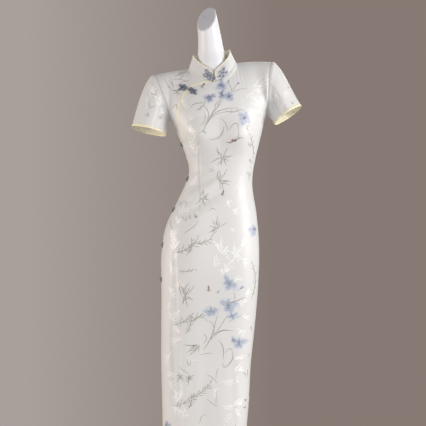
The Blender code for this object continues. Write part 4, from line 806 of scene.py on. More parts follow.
def front_rise(rows, columns, reach):
    """How far the front is lifted off the plain surface by the under-front below it."""
    over = 1 - ease((columns - reach - RISE_BEYOND) / RISE_SPREAD)
    low = ease((UNDERARM_HEIGHT + rows - RISE_START_HEIGHT)
               / (OPENING[0][0] * MM - RISE_START_HEIGHT))[:, None]
    top = (1 - ease((rows - UNDERLAP_TOP_ROW) / (1 - UNDERLAP_TOP_ROW)))[:, None]
    return UNDERLAP_RISE * over * low * top


def lengths(points, axis):
    """Running length along a grid's rows or columns, 0 in the middle."""
    steps = np.linalg.norm(np.diff(points, axis=axis), axis=-1)
    run = np.concatenate([np.zeros_like(np.take(steps, [0], axis)), np.cumsum(steps, axis)], axis)
    middle = np.take(run, [run.shape[axis] // 2], axis)
    return run - middle


def cut_places(points, ring=False):
    """Place of each point of a grid on the flat-cut cloth: across, along, and 0."""
    closed = np.concatenate([points, points[:, :1]], 1) if ring else points
    across, along = lengths(closed, 1)[:, :points.shape[1]], lengths(points, 0)
    return np.stack([across, -along if ring else along, 0 * along], -1)


def panel(rows, columns, back, rise=0.0):
    """Middle surface and normals of a panel."""
    grid_rows = np.broadcast_to(rows[:, None], columns.shape)
    points = cloth(grid_rows, columns, back, rise)
    points = points + outward(grid_rows, columns, back) * creases(points, back)[..., None]
    return points, grid_normals(points) * (-1 if back else 1)


def grid_normals(points, ring=False):
    """Normals of a grid, pointing the way that columns x rows does."""
    if ring:
        across = np.roll(points, -1, 1) - np.roll(points, 1, 1)
    else:
        across = np.gradient(points, axis=1)
    return unit(np.cross(across, np.gradient(points, axis=0)))


def darts(points, side):
    """How far along and aside of each dart of a side some world points are."""
    for x0, z0, x1, z1 in DARTS.get(side, ()):
        along = (points[..., 2] - z0 * MM) / ((z1 - z0) * MM)
        yield along, points[..., 0] - (x0 + (x1 - x0) * along) * MM


def creases(points, back):
    """Height of the small creases and darts at some world points of the front or back."""
    lift = ridges(points, CREASES, back, CREASE_FADE, CREASE_BEND)
    for along, aside in darts(points, "back" if back else "front"):
        lift = lift - DART_DEPTH * fade_ends(along, DART_FADE) * bell(aside, DART_WIDE)
    return lift


def armhole_ring(side, count):
    """Points round an armhole, from under the arm up the front and down the back, and
    the turn of the sleeve at each."""
    shares = np.linspace(0, 1, count // 2 + 1)
    knots = list(zip(ARM_SHARES, np.linspace(0, np.pi, len(ARM_SHARES))))
    turn = smooth(knots, 1, shares)
    front = cloth(shares, 90.0 * side, False)
    back = cloth(shares[-2:0:-1], 90.0 * side, True)
    return np.concatenate([front, back]), np.concatenate([turn, 2 * np.pi - turn[-2:0:-1]])


def sleeve_surface(side, cuff_x, cuff_z, half_width, lean, folds):
    """Grid of a sleeve's middle surface, row 0 at the armhole, and its normals."""
    start, turn = armhole_ring(side, SLEEVE_COLUMNS)
    lean, pitch = math.radians(lean), math.radians(CUFF_PITCH)
    axis = unit(np.array([side * math.sin(lean), -math.sin(pitch), -math.cos(lean)]))
    across = unit(np.cross((0, 1, 0), axis)) * side
    depth = unit(np.cross(axis, across))
    depth = depth * np.sign(-depth[1])
    middle = np.array([cuff_x, CUFF_FORWARD, cuff_z])
    low = (1 + np.cos(turn)) / 2
    end = (middle + across * (half_width * np.cos(turn))[:, None]
           + depth * (CUFF_HALF_DEPTH * np.sin(turn))[:, None])
    out = unit(np.array([side, 0.0, CAP_RISE]))
    leave = (out * (CAP_PUSH * (1 - low) + UNDERARM_PUSH)[:, None]
             + axis * (UNDERARM_PULL * low)[:, None])
    arrive = axis * (CUFF_PULL * (1 - low) + UNDERARM_PULL * low)[:, None]
    share = np.linspace(0, 1, SLEEVE_ROWS)
    grid = hermite(share[:, None, None], start, end, leave, arrive)
    normals = grid_normals(grid, ring=True)
    heart = grid.mean(axis=1, keepdims=True)
    facing = np.sign(np.sum(normals * (grid - heart)))
    degrees = np.degrees(turn)
    fade = ease(share / SLEEVE_FADE)
    for angle, height, width in folds:
        shape = bell((degrees - angle + 180) % 360 - 180, width) * height * MM
        grid = grid + normals * facing * (shape[None, :] * fade[:, None])[..., None]
    puff = SLEEVE_PUFF * bell(share - PUFF_AT, PUFF_SPREAD) * ease(share / PUFF_SPREAD)
    grid = grid + normals * facing * (puff[:, None] * (1 - low)[None, :])[..., None]
    return grid, grid_normals(grid, ring=True) * facing


def collar_point(angle, share, out=0.0):
    """Point and normal of the collar: angle 0 at the centre front, share 0 at its base."""
    angle, share = np.broadcast_arrays(np.asarray(angle, float), np.asarray(share, float))

    def middle(angle, share):
        s, c = np.sin(angle), np.cos(angle)
        x, y, z = neckline(angle)
        reach = np.where(c > 0, COLLAR_TOP_MIDDLE - COLLAR_TOP_FRONT,
                         COLLAR_TOP_BACK - COLLAR_TOP_MIDDLE)
        fullness = np.where(s < 0, COLLAR_FULLNESS[-1], COLLAR_FULLNESS[1])
        top_x = COLLAR_TOP_HALF_WIDTH * s * (1 + fullness * np.maximum(c, 0))
        top = (top_x, COLLAR_TOP_MIDDLE - reach * c, z + COLLAR_HEIGHT)
        away = COLLAR_MEAN_RADIUS * np.abs(np.arctan2(s, c))
        corner = np.sin(np.pi / 2 * np.clip(away / COLLAR_CORNER, 0, 1)) ** COLLAR_CORNER_POWER
        rise = corner * share
        return stand(x + (top[0] - x) * rise, y + (top[1] - y) * rise, z + (top[2] - z) * rise)

    points = middle(angle, share)
    # Beside the front corners, where the collar is low, it faces as it does further round.
    near = np.abs(np.sin(angle / 2)) < COLLAR_NEAR
    turned = np.where(near, np.sign(np.sin(angle) + 1e-9) * COLLAR_FACING, angle)
    round_way = middle(angle + COLLAR_STEP, 0 * share) - middle(angle - COLLAR_STEP, 0 * share)
    up = middle(turned, 0 * share + 1) - middle(turned, 0 * share)
    up = up - round_way * (np.sum(up * round_way, -1) / np.sum(round_way**2, -1))[..., None]
    normals = unit(np.cross(round_way, up))
    return points + normals * out, normals


# ---- Meshes ----

def new_piece(name, points, faces, materials, stands_for=(), slot="satin", volume=True):
    """One piece from points and lists of equal-sided faces, its faces turned outwards
    where it holds a volume. faces is a list of (corners, material index)."""
    points = np.asarray(points, float).reshape(-1, 3)
    held = 0.0
    for corners, _ in faces if volume else ():
        for k in range(1, corners.shape[1] - 1):
            a, b, c = points[corners[:, 0]], points[corners[:, k]], points[corners[:, k + 1]]
            held += np.sum(a * np.cross(b, c))
    if held < 0:
        faces = [(corners[:, ::-1], index) for corners, index in faces]
    sides = np.concatenate([np.full(len(corners), corners.shape[1]) for corners, _ in faces])
    index = np.concatenate([np.full(len(corners), number) for corners, number in faces])
    corners = np.concatenate([corners.ravel() for corners, _ in faces])
    mesh = bpy.data.meshes.new(name)
    mesh.vertices.add(len(points))
    mesh.vertices.foreach_set("co", points.astype(np.float32).ravel())
    mesh.loops.add(len(corners))
    mesh.loops.foreach_set("vertex_index", corners.astype(np.int32))
    mesh.polygons.add(len(sides))
    mesh.polygons.foreach_set("loop_start", (np.cumsum(sides) - sides).astype(np.int32))
    mesh.polygons.foreach_set("material_index", index.astype(np.int32))
    mesh.update(calc_edges=True)
    mesh.shade_smooth()
    for material in materials:
        mesh.materials.append(material)
    piece = bpy.data.objects.new(name, mesh)
    bpy.context.scene.collection.objects.link(piece)
    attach(piece, "root")
    if stands_for:
        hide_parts(*stands_for)
    return piece


def keep_values(piece, values):
    """Stores named values on a piece's points: one number or three for each point."""
    for name, value in values.items():
        wide = value.ndim == 2
        made = piece.data.attributes.new(name, "FLOAT_VECTOR" if wide else "FLOAT", "POINT")
        made.data.foreach_set("vector" if wide else "value", value.astype(np.float32).ravel())


def quads(rows, columns, ring=False, base=0):
    """Faces of a grid of points."""
    r, c = np.meshgrid(np.arange(rows - 1), np.arange(columns if ring else columns - 1),
                       indexing="ij")
    right = (c + 1) % columns
    return (base + np.stack([r * columns + c, r * columns + right,
                             (r + 1) * columns + right, (r + 1) * columns + c], -1)).reshape(-1, 4)


def rim(dense, coarse):
    """Triangles between a dense line of points and one with every fourth of them."""
    made = []
    for i in range(len(coarse) - 1):
        d, a, b = dense[4 * i:4 * i + 5], coarse[i], coarse[i + 1]
        made += [(d[0], d[1], a), (d[1], d[2], a), (d[2], b, a), (d[2], d[3], b), (d[3], d[4], b)]
    return np.array(made)


def shell(name, points, normals, thick, stands_for, ring=False, **values):
    """A thin closed wall round a middle surface: a dense outer face, and an inner face
    with every fourth row and column. values are grids kept on the outer points."""
    rows, columns = points.shape[:2]
    few = (slice(None, None, 4),) * 2
    inner = (points - normals * (thick / 2))[few]
    low_rows, low_columns = inner.shape[:2]
    count = rows * columns
    out_at = np.arange(count).reshape(rows, columns)
    in_at = count + np.arange(low_rows * low_columns).reshape(low_rows, low_columns)
    if ring:
        out_at = np.concatenate([out_at, out_at[:, :1]], 1)
        in_at = np.concatenate([in_at, in_at[:, :1]], 1)
    rims = [rim(out_at[0], in_at[0])[:, ::-1], rim(out_at[-1], in_at[-1])]
    if not ring:
        rims += [rim(out_at[:, 0], in_at[:, 0]), rim(out_at[:, -1], in_at[:, -1])[:, ::-1]]
    faces = [
        (quads(rows, columns, ring), 0),
        (quads(low_rows, low_columns, ring, count)[:, ::-1], 1),
        (np.concatenate(rims), 0),
    ]

    def both(outer, inner):
        return np.concatenate([outer.reshape(count, *outer.shape[2:]),
                               inner.reshape(-1, *outer.shape[2:])])

    piece = new_piece(name, both(points + normals * (thick / 2), inner), faces,
                      [SATIN, REVERSE_WITH_PAINTED_LIGHT], stands_for)
    values["cut"] = cut_places(points, ring)
    keep_values(piece, {key: both(grid, grid[few]) for key, grid in values.items()})
    return piece


def swept(sections, closed_run=False, index=0):
    """Points and faces of a tube through rings of points, with flat ends if it is open."""
    runs, sides = sections.shape[:2]
    if closed_run:
        faces = quads(runs + 1, sides, ring=True) % (runs * sides)
        return sections.reshape(-1, 3), [(faces, index)]
    around = np.arange(sides)
    ahead = (around + 1) % sides
    tip, last = runs * sides, (runs - 1) * sides
    first_end = np.stack([ahead, around, np.full(sides, tip)], -1)
    last_end = np.stack([last + around, last + ahead, np.full(sides, tip + 1)], -1)
    points = np.concatenate([sections.reshape(-1, 3), sections[[0, -1]].mean(1)])
    faces = (quads(runs, sides, ring=True), first_end, last_end)
    return points, [(corners, index) for corners in faces]


def cord_rings(line, ups, half_wide, half_high, sides):
    """Rings of points round a closed line: an oval section, upright along ups."""
    ahead = unit(np.roll(line, -1, 0) - np.roll(line, 1, 0))
    aside = unit(np.cross(ahead, ups))
    up = np.cross(aside, ahead)
    turn = np.arange(sides) * 2 * np.pi / sides
    return (line[:, None] + aside[:, None] * (np.cos(turn) * half_wide)[None, :, None]
            + up[:, None] * (np.sin(turn) * half_high)[None, :, None])


def joined(parts):
    """Puts (points, faces) parts together: points and faces for one piece."""
    points, faces, base = [], [], 0
    for part_points, part_faces in parts:
        points.append(part_points)
        faces += [(corners + base, index) for corners, index in part_faces]
        base += len(part_points)
    return np.concatenate(points), faces


# ---- Woven figures ----

def heading(angle):
    """Ways ahead and aside in the picture, for a direction in degrees."""
    ahead = np.array([math.cos(math.radians(angle)), -math.sin(math.radians(angle))])
    return ahead, np.array([-ahead[1], ahead[0]])


def rows_of(table):
    """Rows of a table that is grouped by kind, each with its kind in front."""
    return [(kind, *row) for kind, rows in table.items() for row in rows]


class Figures:
    """Figures woven into the cloth, laid on the pieces as they are seen from one side."""

    def __init__(self, pieces, behind=False):
        self.side = -1 if behind else 1
        self.eye = np.array([CAMERA_X, -CAMERA_DISTANCE * self.side, CAMERA_Z])
        points, faces, self.owners = [], [], []
        for owner, (piece, count) in enumerate(pieces):
            base = len(points)
            points += [tuple(vertex.co) for vertex in piece.data.vertices[:count]]
            own = [[base + i for i in face.vertices] for face in piece.data.polygons
                   if face.material_index == 0 and max(face.vertices) < count]
            faces += own
            self.owners += [owner] * len(own)
        self.tree = BVHTree.FromPolygons(points, faces)
        self.grids = {kind: [] for kind in WIDER}

    def land(self, spot):
        """Where a place in the picture lies on the cloth: point, normal and owner."""
        x, y = spot
        across = (x - PICTURE_SIZE / 2) * PIXEL * self.side
        goal = np.array([CAMERA_X + across, 0.0, CAMERA_Z + (PICTURE_SIZE / 2 - y) * PIXEL])
        way = Vector(goal - self.eye).normalized()
        point, normal, face, _ = self.tree.ray_cast(Vector(self.eye), way)
        if point is None or abs(normal.dot(way)) < FIGURE_FACING:
            return None
        return np.array(point), np.array(normal) * (-1 if normal.dot(way) > 0 else 1), \
            self.owners[face]

    def lay(self, kind, grid):
        """Lays a grid of picture places on the cloth."""
        rows, columns = grid.shape[:2]
        landed = [self.land(spot) for spot in grid.reshape(-1, 2)]
        self.grids[kind].append((rows, columns, landed))

    def stroke(self, kind, line, wide, across=3, tip=0.30):
        """A line through picture places that thins to both ends; wide is in mm."""
        line = np.asarray(line, float)
        ahead = unit(np.gradient(line, axis=0))
        aside = np.stack([-ahead[:, 1], ahead[:, 0]], -1)
        share = np.linspace(0, 1, len(line))
        swell = tip + (1 - tip) * np.sin(np.pi * share) ** STROKE_FULL
        half = wide * WIDER[kind] / FIGURE_PIXEL / 2 * swell
        offsets = np.linspace(-1, 1, across)[None, :, None] * (half[:, None] * aside)[:, None]
        self.lay(kind, line[:, None] + offsets)

    def leaf(self, kind, place, angle, length, wide, bend=0.0):
        """A slender leaf from its stalk's place, in a direction in degrees."""
        ahead, aside = heading(angle)
        shares = np.linspace(0, 1, LEAF_POINTS)[:, None]
        reach = length / FIGURE_PIXEL
        line = place + ahead * reach * shares + aside * bend * reach * 4 * shares * (1 - shares)
        self.stroke(kind, line, wide, tip=LEAF_TIP)

    def petal(self, kind, place, angle, length, wide):
        """A rounded petal from the flower's heart, in a direction in degrees."""
        ahead, aside = heading(angle)
        reach, half = length / FIGURE_PIXEL, wide / FIGURE_PIXEL / 2
        width = np.sin(np.pi * np.minimum(PETAL_SHARES**PETAL_BELLY, 0.999)) ** PETAL_FULL
        width = width * (1 - PETAL_WAVE * np.cos(PETAL_WAVES * PETAL_SHARES + angle))
        width[-1] = PETAL_TIP
        across = np.linspace(-1, 1, PETAL_COLUMNS)
        along = PETAL_SHARES[:, None] * (1 - PETAL_NOTCH * across**2)
        self.lay(kind, place + along[..., None] * reach * ahead
                 + (width[:, None] * across)[..., None] * half * aside)

    def curve(self, kind, wide, start, bend, end):
        """A stem through three picture places."""
        pull = 2 * bend - (start + end) / 2
        shares = np.linspace(0, 1, STEM_POINTS)[:, None]
        line = (1 - shares) ** 2 * start + 2 * shares * (1 - shares) * pull + shares**2 * end
        sway = STEM_WANDER * np.sin(shares * STEM_SWAYS + start[0])
        self.stroke(kind, line + sway, wide)

    def burst(self, kind, x, y, angle, sweep, count, length, wide):
        """Slender leaves that fan out from one place, or a spray where the kind is white."""
        if kind == "white":
            more = round(count * SPRAY_MORE)
            self.spray(kind, x, y, angle, sweep, more, length * SPRAY_LONGER, wide)
            return
        for k in range(count):
            turn = angle + sweep * (k / max(count - 1, 1) - 0.5) + 9 * math.sin(5.1 * k + x)
            reach = length * (0.72 + 0.28 * math.cos(2.6 * k + y))
            away = FAN_ROOT * length / FIGURE_PIXEL
            root = np.array([x + away * math.cos(k * 1.9), y + away * math.sin(k * 1.9)])
            self.leaf(kind, root, turn, reach, wide, 0.05 * math.sin(k * 2.3))

    def spray(self, kind, x, y, angle, sweep, count, length, wide):
        """Slender leaves that lean forwards to both sides of a short curved stalk."""
        ahead, aside = (way * length / FIGURE_PIXEL for way in heading(angle))
        lean = SPRAY_LEAN + SPRAY_SWEEP * min(sweep, SPRAY_WIDEST)
        for k in range(count):
            t = k / max(count - 1, 1)
            root = np.array([x, y]) + ahead * (0.75 * t - 0.3) + aside * 0.14 * math.sin(3 * t + x)
            way = (1 if k % 2 else -1) * lean * (1.15 - 0.5 * t) + 8 * math.sin(4.3 * k + y)
            reach = length * (0.62 + 0.24 * math.cos(2.6 * k + y)) * (0.8 + 0.3 * math.sin(3 * t))
            self.leaf(kind, root, angle + way, reach, wide, 0.06 * math.sin(k * 2.3))

    def twig(self, kind, start, end, leaves, length, wide):
        """A twig between two places, its leaves in pairs that lean forwards."""
        step = end - start
        way = math.degrees(math.atan2(-step[1], step[0]))
        aside = np.array([-step[1], step[0]])
        shares = np.linspace(0, 1, TWIG_POINTS)[:, None]
        line = start + step * shares + aside * TWIG_BOW * np.sin(np.pi * shares)
        self.stroke(kind, line, STEM_WIDE)
        for k in range(leaves):
            t = TWIG_FIRST + TWIG_SPAN * k / max(leaves - 1, 1)
            root = start + step * t + aside * TWIG_BOW * math.sin(math.pi * t)
            lean = (TWIG_LEAN + 10 * math.sin(3.7 * k + start[0])) * (1 if k % 2 else -1)
            self.leaf(kind, root, way + lean, length * (0.7 + 0.3 * math.cos(1.9 * k)), wide)

    def bloom(self, x, y, size, angle, petals, deep):
        """A blossom: rounded petals, pale at the rim, dark strokes from a small heart."""
        place = np.array([x, y])
        faded = y > FADED_BELOW or x > FADED_BEYOND
        inner, slender, larger, vein = FADED_BLOOM if faded else FRESH_BLOOM
        size = size * larger
        for k in range(petals):
            turn = angle + 360 * k / petals + 10 * math.sin(3.3 * k + x)
            reach = size * (0.86 + 0.22 * math.cos(2.2 * k + y))
            broad = reach * slender * (0.78 - 0.20 * math.sin(math.radians(turn)))
            self.petal("pale", place, turn, reach, broad)
            self.petal(inner, place, turn + 5, reach * INNER_LONG, broad * INNER_BROAD)
            for fan in VEIN_FAN:
                reach_in = size * (0.55 - 0.006 * abs(fan)) * deep
                self.leaf("deep", place, turn + fan, reach_in, vein)
        self.petal("pale", place - (0.3, 0), 0, *HEART_SIZE)

    def bird(self, x, y, angle):
        """A tiny bird in flight: body, wings, tail and beak."""
        for kind, turn, length, wide in BIRD_LEAVES:
            self.leaf(kind, np.array([x, y]), angle + turn, length, wide)

    def bud(self, x, y, angle, length, wide):
        """A closed blossom on its stalk."""
        place = np.array([x, y])
        self.petal("blue", place, angle, length, wide)
        self.leaf("grey", place, angle + 180, *BUD_STALK)
        self.leaf("deep", place, angle, length * BUD_VEIN[0], BUD_VEIN[1])

    def draw(self, name, materials):
        """Lays every figure and makes one piece for each of their colours."""
        moved = np.array(BEHIND_SHIFT if self.side < 0 else (0.0, 0.0))
        for kind, wide, *spots in rows_of(STEMS):
            self.curve(kind, wide, *(np.array(spots, float).reshape(3, 2) + moved))
        for kind, x, y, *rest in rows_of(BURSTS):
            self.burst(kind, x + moved[0], y + moved[1], *rest)
        for kind, x0, y0, x1, y1, *rest in rows_of(TWIGS):
            self.twig(kind, np.array([x0, y0]) + moved, np.array([x1, y1]) + moved, *rest)
        for lay, table in ((self.bloom, BLOOMS), (self.bud, BUDS), (self.bird, BIRDS)):
            for x, y, *rest in table:
                lay(x + moved[0], y + moved[1], *rest)
        return [self.piece(f"{name}_{kind}", kind, FIGURE_LIFT + FIGURE_OVER * level, material)
                for level, (kind, material) in enumerate(materials.items()) if self.grids[kind]]

    def piece(self, name, kind, lift, material):
        """One piece from all grids of a colour, a little off the cloth, whole faces only."""
        points, faces = [], []
        for rows, columns, landed in self.grids[kind]:
            base = len(points)
            heart = [spot[0] for spot in landed if spot]
            if not heart:
                continue
            points += [spot[0] + spot[1] * lift if spot else heart[0] for spot in landed]
            for corners in quads(rows, columns):
                held = [landed[i] for i in corners]
                if all(held) and len({spot[2] for spot in held}) == 1:
                    extent = np.ptp([spot[0] for spot in held], axis=0)
                    if extent[1] < FIGURE_STEP + FIGURE_SLOPE * max(extent[0], extent[2]):
                        faces.append(corners + base)
        made = new_piece(name, points, [(np.array(faces), 0)], [material], volume=False)
        tidy_loose(made)
        return made


def tidy_loose(piece):
    """Drops points that no face uses."""
    shape = bmesh.new()
    shape.from_mesh(piece.data)
    loose = [vert for vert in shape.verts if not vert.link_faces]
    bmesh.ops.delete(shape, geom=loose, context="VERTS")
    shape.to_mesh(piece.data)
    shape.free()


# ---- Materials ----

def paint(red, green, blue):
    """A colour as seen on a screen, 0 to 255, as the shaders take it."""
    seen = np.array([red, green, blue]) / 255
    return [*np.where(seen <= 0.04045, seen / 12.92, ((seen + 0.055) / 1.055) ** 2.4), 1.0]


class Nodes:
    """A node tree in the making."""

    def __init__(self, tree):
        self.tree = tree

    def feed(self, socket, value):
        if isinstance(value, bpy.types.NodeSocket):
            self.tree.links.new(value, socket)
        else:
            socket.default_value = value

    def node(self, kind, output=0, settings=(), first=(), **inputs):
        """One output of a new node. first holds values for its first inputs, in order."""
        made = self.tree.nodes.new("ShaderNode" + kind)
        for key, value in settings:
            setattr(made, key, value)
        for socket, value in zip(made.inputs, first):
            self.feed(socket, value)
        for key, value in inputs.items():
            self.feed(made.inputs[key.replace("_", " ")], value)
        return made.outputs[output] if made.outputs else made

    def math(self, operation, *values):
        return self.node("Math", 0, [("operation", operation)], values)

    def ease(self, value, start, end, low=0.0, high=1.0):
        """value's way from start to end, as a smooth way from low to high."""
        return self.node("MapRange", settings=[("interpolation_type", "SMOOTHSTEP")], Value=value,
                         From_Min=start, From_Max=end, To_Min=low, To_Max=high)

    def noise(self, place, scales, detail=1.0):
        stretched = self.node("Mapping", Vector=place, Scale=scales)
        return self.node("TexNoise", "Fac", Vector=stretched, Scale=1.0, Detail=detail)

    def mix(self, share, first, second):
        made = self.tree.nodes.new("ShaderNodeMix")
        made.data_type = "RGBA"
        self.feed(made.inputs["Factor"], share)
        for socket, value in zip([s for s in made.inputs if s.type == "RGBA"], (first, second)):
            self.feed(socket, value)
        return next(s for s in made.outputs if s.type == "RGBA")


class Shade(Nodes):
    """A procedural material in the making."""

    def __init__(self, name, roughness, **constants):
        self.material = bpy.data.materials.new(name)
        self.material.use_nodes = True
        super().__init__(self.material.node_tree)
        self.shader = self.tree.nodes["Principled BSDF"]
        self.set("Roughness", roughness)
        for key, value in constants.items():
            self.set(key.replace("_", " "), value)

    def set(self, key, value):
        self.feed(self.shader.inputs[key], value)

    def bump(self, height, strength, millimetres):
        self.set("Normal", self.node("Bump", Height=height, Strength=strength,
                                     Distance=millimetres * MM))


def satin(name, light, deep, roughness, warp=(1250.0, 260.0, 1.0), relief=0.16):
    """Silk satin: long warp floats, slight slubs and a slow drift of tone, darkened by a painted shadow
    along seams and darts.
    """
    made = Shade(name, roughness, Sheen_Weight=0.22, Sheen_Roughness=0.35,
                 Specular_IOR_Level=0.32, Sheen_Tint=paint(255, 250, 242))
    place = made.node("Attribute", "Vector", [("attribute_name", "cut")])
    floats = made.noise(place, warp, 2.0)
    slubs = made.noise(place, (60.0, 900.0, 1.0))
    drift = made.noise(place, (7.0, 4.0, 1.0))
    tone = made.math("ADD", made.ease(drift, 0.3, 0.7, 0.0, 0.55),
                     made.ease(floats, 0.35, 0.65, 0.0, 0.25))
    # painted shade: the colour darkens towards the seam shadow colour beside armhole seams and along
    # darts
    sewn = made.math("MULTIPLY", made.node("Attribute", "Fac", [("attribute_name", "sewn")]), 0.6)
    made.set("Base Color", made.mix(sewn, made.mix(tone, paint(*light), paint(*deep)),
                                    paint(*SEAM_SHADOW_COLOUR)))
    made.set("Roughness", made.ease(floats, 0.3, 0.7, roughness - 0.05, roughness + 0.05))
    made.bump(made.math("ADD", floats, made.math("MULTIPLY", slubs, 0.35)), relief, 0.25)
    return made.material


def two_tone(name, light, deep, roughness, drift, grain, relief, spread=0.15, **constants):
    """A material that drifts between two colours, with a fine grain raised in it. drift is
    a noise's scales and detail, grain its scales, relief its strength and height in mm."""
    made = Shade(name, roughness, **constants)
    place = made.node("NewGeometry", "Position")
    tone = made.ease(made.noise(place, *drift), 0.5 - spread, 0.5 + spread)
    made.set("Base Color", made.mix(tone, paint(*light), paint(*deep)))
    made.bump(made.noise(place, grain), *relief)
    return made.material


def woven(name, light, deep, roughness):
    """A figure woven in coloured silk: fine threads and a slow change of colour."""
    return two_tone(name, light, deep, roughness, ((90.0, 90.0, 120.0), 2.0),
                    (1100.0, 1100.0, 2600.0), (0.3, 0.15), Sheen_Weight=0.2, Sheen_Roughness=0.3)


def cord(name, light, deep):
    """Rolled satin cord: fine diagonal wraps."""
    return two_tone(name, light, deep, 0.42, ([260.0] * 3, 1.0), [1500.0] * 3, (0.5, 0.2),
                    Sheen_Weight=0.3, Sheen_Roughness=0.35)


def painted(name, light, deep, roughness, relief):
    """Smooth sprayed finish with the least orange peel."""
    return two_tone(name, light, deep, roughness, ((11.0, 11.0, 9.0), 2.0), [420.0] * 3,
                    (relief, 0.3), 0.2, Specular_IOR_Level=0.45, Coat_Weight=0.12,
                    Coat_Roughness=0.25)


def brushed(name, light, deep):
    """Brushed steel."""
    made = Shade(name, 0.3, Metallic=1.0)
    lines = made.noise(made.node("NewGeometry", "Position"), (60.0, 60.0, 2400.0), 2.0)
    made.set("Base Color", made.mix(made.ease(lines, 0.3, 0.7), paint(*light), paint(*deep)))
    made.set("Roughness", made.ease(lines, 0.3, 0.7, 0.24, 0.38))
    made.bump(lines, 0.12, 0.1)
    return made.material


# Colour of the painted shadow along armhole seams and darts.
SEAM_SHADOW_COLOUR = (150, 138, 128)
SATIN = satin("satin", (227, 225, 223), (218, 216, 215), 0.38)
# The reverse is partly the cloth's own cream and partly painted warm light: it is paler and warmer than
# the face, for the insides of the cuffs and collar.
REVERSE_WITH_PAINTED_LIGHT = satin("satin_reverse", (252, 245, 228), (246, 238, 218), 0.5, (900.0, 900.0, 1.0), 0.25)
PIPING = satin("piping_satin", (246, 238, 208), (236, 224, 186), 0.36, (500.0, 1500.0, 1.0), 0.3)
FORM_WHITE = painted("form_white", (238, 237, 240), (230, 229, 233), 0.36, 0.05)
FORM_CAP = painted("form_cap", (208, 207, 214), (200, 199, 206), 0.32, 0.08)
STEEL = brushed("steel", (196, 196, 200), (150, 150, 153))
CORDS = {name: cord(f"cord_{name}", light, deep) for name, light, deep in (
    ("slate", (124, 134, 155), (94, 103, 124)),
    ("ink", (92, 102, 128), (64, 70, 92)),
    ("pale", (186, 194, 208), (156, 166, 184)),
    ("ochre", (176, 154, 100), (142, 124, 76)),
    ("olive", (116, 120, 104), (84, 88, 76)),
    ("blue", (140, 165, 196), (112, 138, 172)),
)}
THREADS = {name: woven(f"woven_{name}", *look) for name, *look in (
    ("white", (255, 254, 251), (250, 248, 244), 0.30),
    ("grey", (174, 170, 162), (146, 143, 135), 0.45),
    ("pale", (215, 217, 223), (206, 209, 218), 0.40),
    ("mist", (192, 197, 208), (178, 185, 199), 0.42),
    ("blue", (186, 191, 204), (168, 175, 190), 0.42),
    ("deep", (138, 145, 166), (112, 120, 143), 0.45),
    ("rust", (160, 122, 106), (132, 98, 86), 0.45),
)}


# ---- Cloth ----

def make_panels():
    """Front, under-front and back: each one's piece, points and normals, and the rows."""
    upper = np.linspace(0, 1, ROWS_ABOVE)[1:]
    rows, low = (np.concatenate([np.linspace(bottom - UNDERARM_HEIGHT, 0, count), upper])
                 for bottom, count in ((HEM_HEIGHT, ROWS_BELOW),
                                       (UNDERLAP_BOTTOM_HEIGHT, UNDER_ROWS_BELOW)))
    coarse = front_columns(rows)
    columns = spread(coarse, COLUMNS)
    grids = {
        "front": panel(rows, columns, False, front_rise(rows, columns, coarse[:, 1:2])),
        "back": panel(rows, spread(back_columns(rows), COLUMNS), True),
        "under_front": panel(low, spread(under_columns(low), UNDER_COLUMNS), False),
    }
    made = {}
    for name, (points, normals) in grids.items():
        # Each panel keeps a painted seam shadow for its armholes and darts.
        piece = shell(f"{name}_panel", points, normals, CLOTH, [name],
                      sewn=sewn_lines(points, name))
        made[name] = (piece, points, normals)
    return made, rows


def sewn_lines(points, name):
    """How dark the painted seam shadow is at each point of a panel: beside the armholes and along the
    darts.
    """
    sewn = np.zeros(points.shape[:2])
    for end in {"front": (-1,), "back": (0, -1), "under_front": (0,)}[name]:
        away = np.linalg.norm(points - points[:, end][:, None], axis=-1)
        upper = ease((points[:, end, 2] - UNDERARM_HEIGHT) / SEAM_START)[:, None]
        sewn = np.maximum(sewn, upper * bell(away, SEWN_WIDE))
    for along, aside in darts(points, name):
        shade = DART_SHADOW * fade_ends(along, DART_SHADOW_FADE)
        sewn = np.maximum(sewn, shade * bell(aside, SEWN_WIDE))
    return sewn


def piping(name, edge, normals, towards, ring=False, scale=1.0, wider=1.0):
    """A rolled binding swept along a cloth edge; towards points into the cloth. The name
    has a gap for piping, and for binding in the solid that it stands for."""
    ahead = np.roll(edge, -1, 0) - np.roll(edge, 1, 0) if ring else np.gradient(edge, axis=0)
    ahead = unit(ahead)
    into = towards - np.sum(towards * normals, -1)[:, None] * normals
    into = unit(into - np.sum(into * ahead, -1)[:, None] * ahead)
    rise = unit(np.cross(ahead, into))
    rise = rise * np.sign(np.sum(rise * normals, -1))[:, None]
    section = np.array(PIPING_SECTION) * MM * scale
    section[:, 0] *= np.where(section[:, 0] > 0, wider, 1.0)
    rings = (edge[:, None] + into[:, None] * section[None, :, :1]
             + rise[:, None] * section[None, :, 1:])
    points, faces = swept(rings, closed_run=ring)
    piece = new_piece(name.format("piping"), points, faces, [PIPING], [name.format("binding")],
                      "binding")
    run = np.concatenate([[0], np.cumsum(np.linalg.norm(np.diff(edge, axis=0), axis=1))])
    along = np.repeat(run, rings.shape[1])
    place = np.stack([along, np.tile(section[:, 0], len(edge)), 0 * along], -1)
    spare = len(points) - len(place)
    keep_values(piece, {"cut": np.concatenate([place, place[:spare]])})


def bind_panels(panels, rows):
    """Bindings of the opening and the front's whole right edge, the slits and the hems."""
    slit = UNDERARM_HEIGHT + rows <= SLIT_TOP_HEIGHT + SLIT_PIPING_OVER
    for name, key, end, inner, run in (
        ("opening_{}", "front", 0, 2, slice(None)),
        ("slit_{}_front_left", "front", -1, -3, slit),
        ("slit_{}_back_left", "back", -1, -3, slit),
        ("slit_{}_back_right", "back", 0, 2, slit),
    ):
        points, normals = panels[key][1:]
        edge = points[run, end]
        piping(name, edge, normals[run, end], points[run, inner] - edge)
    for key in ("front", "back"):
        points, normals = panels[key][1:]
        piping("hem_{}_" + key, points[0], normals[0], points[2] - points[0])


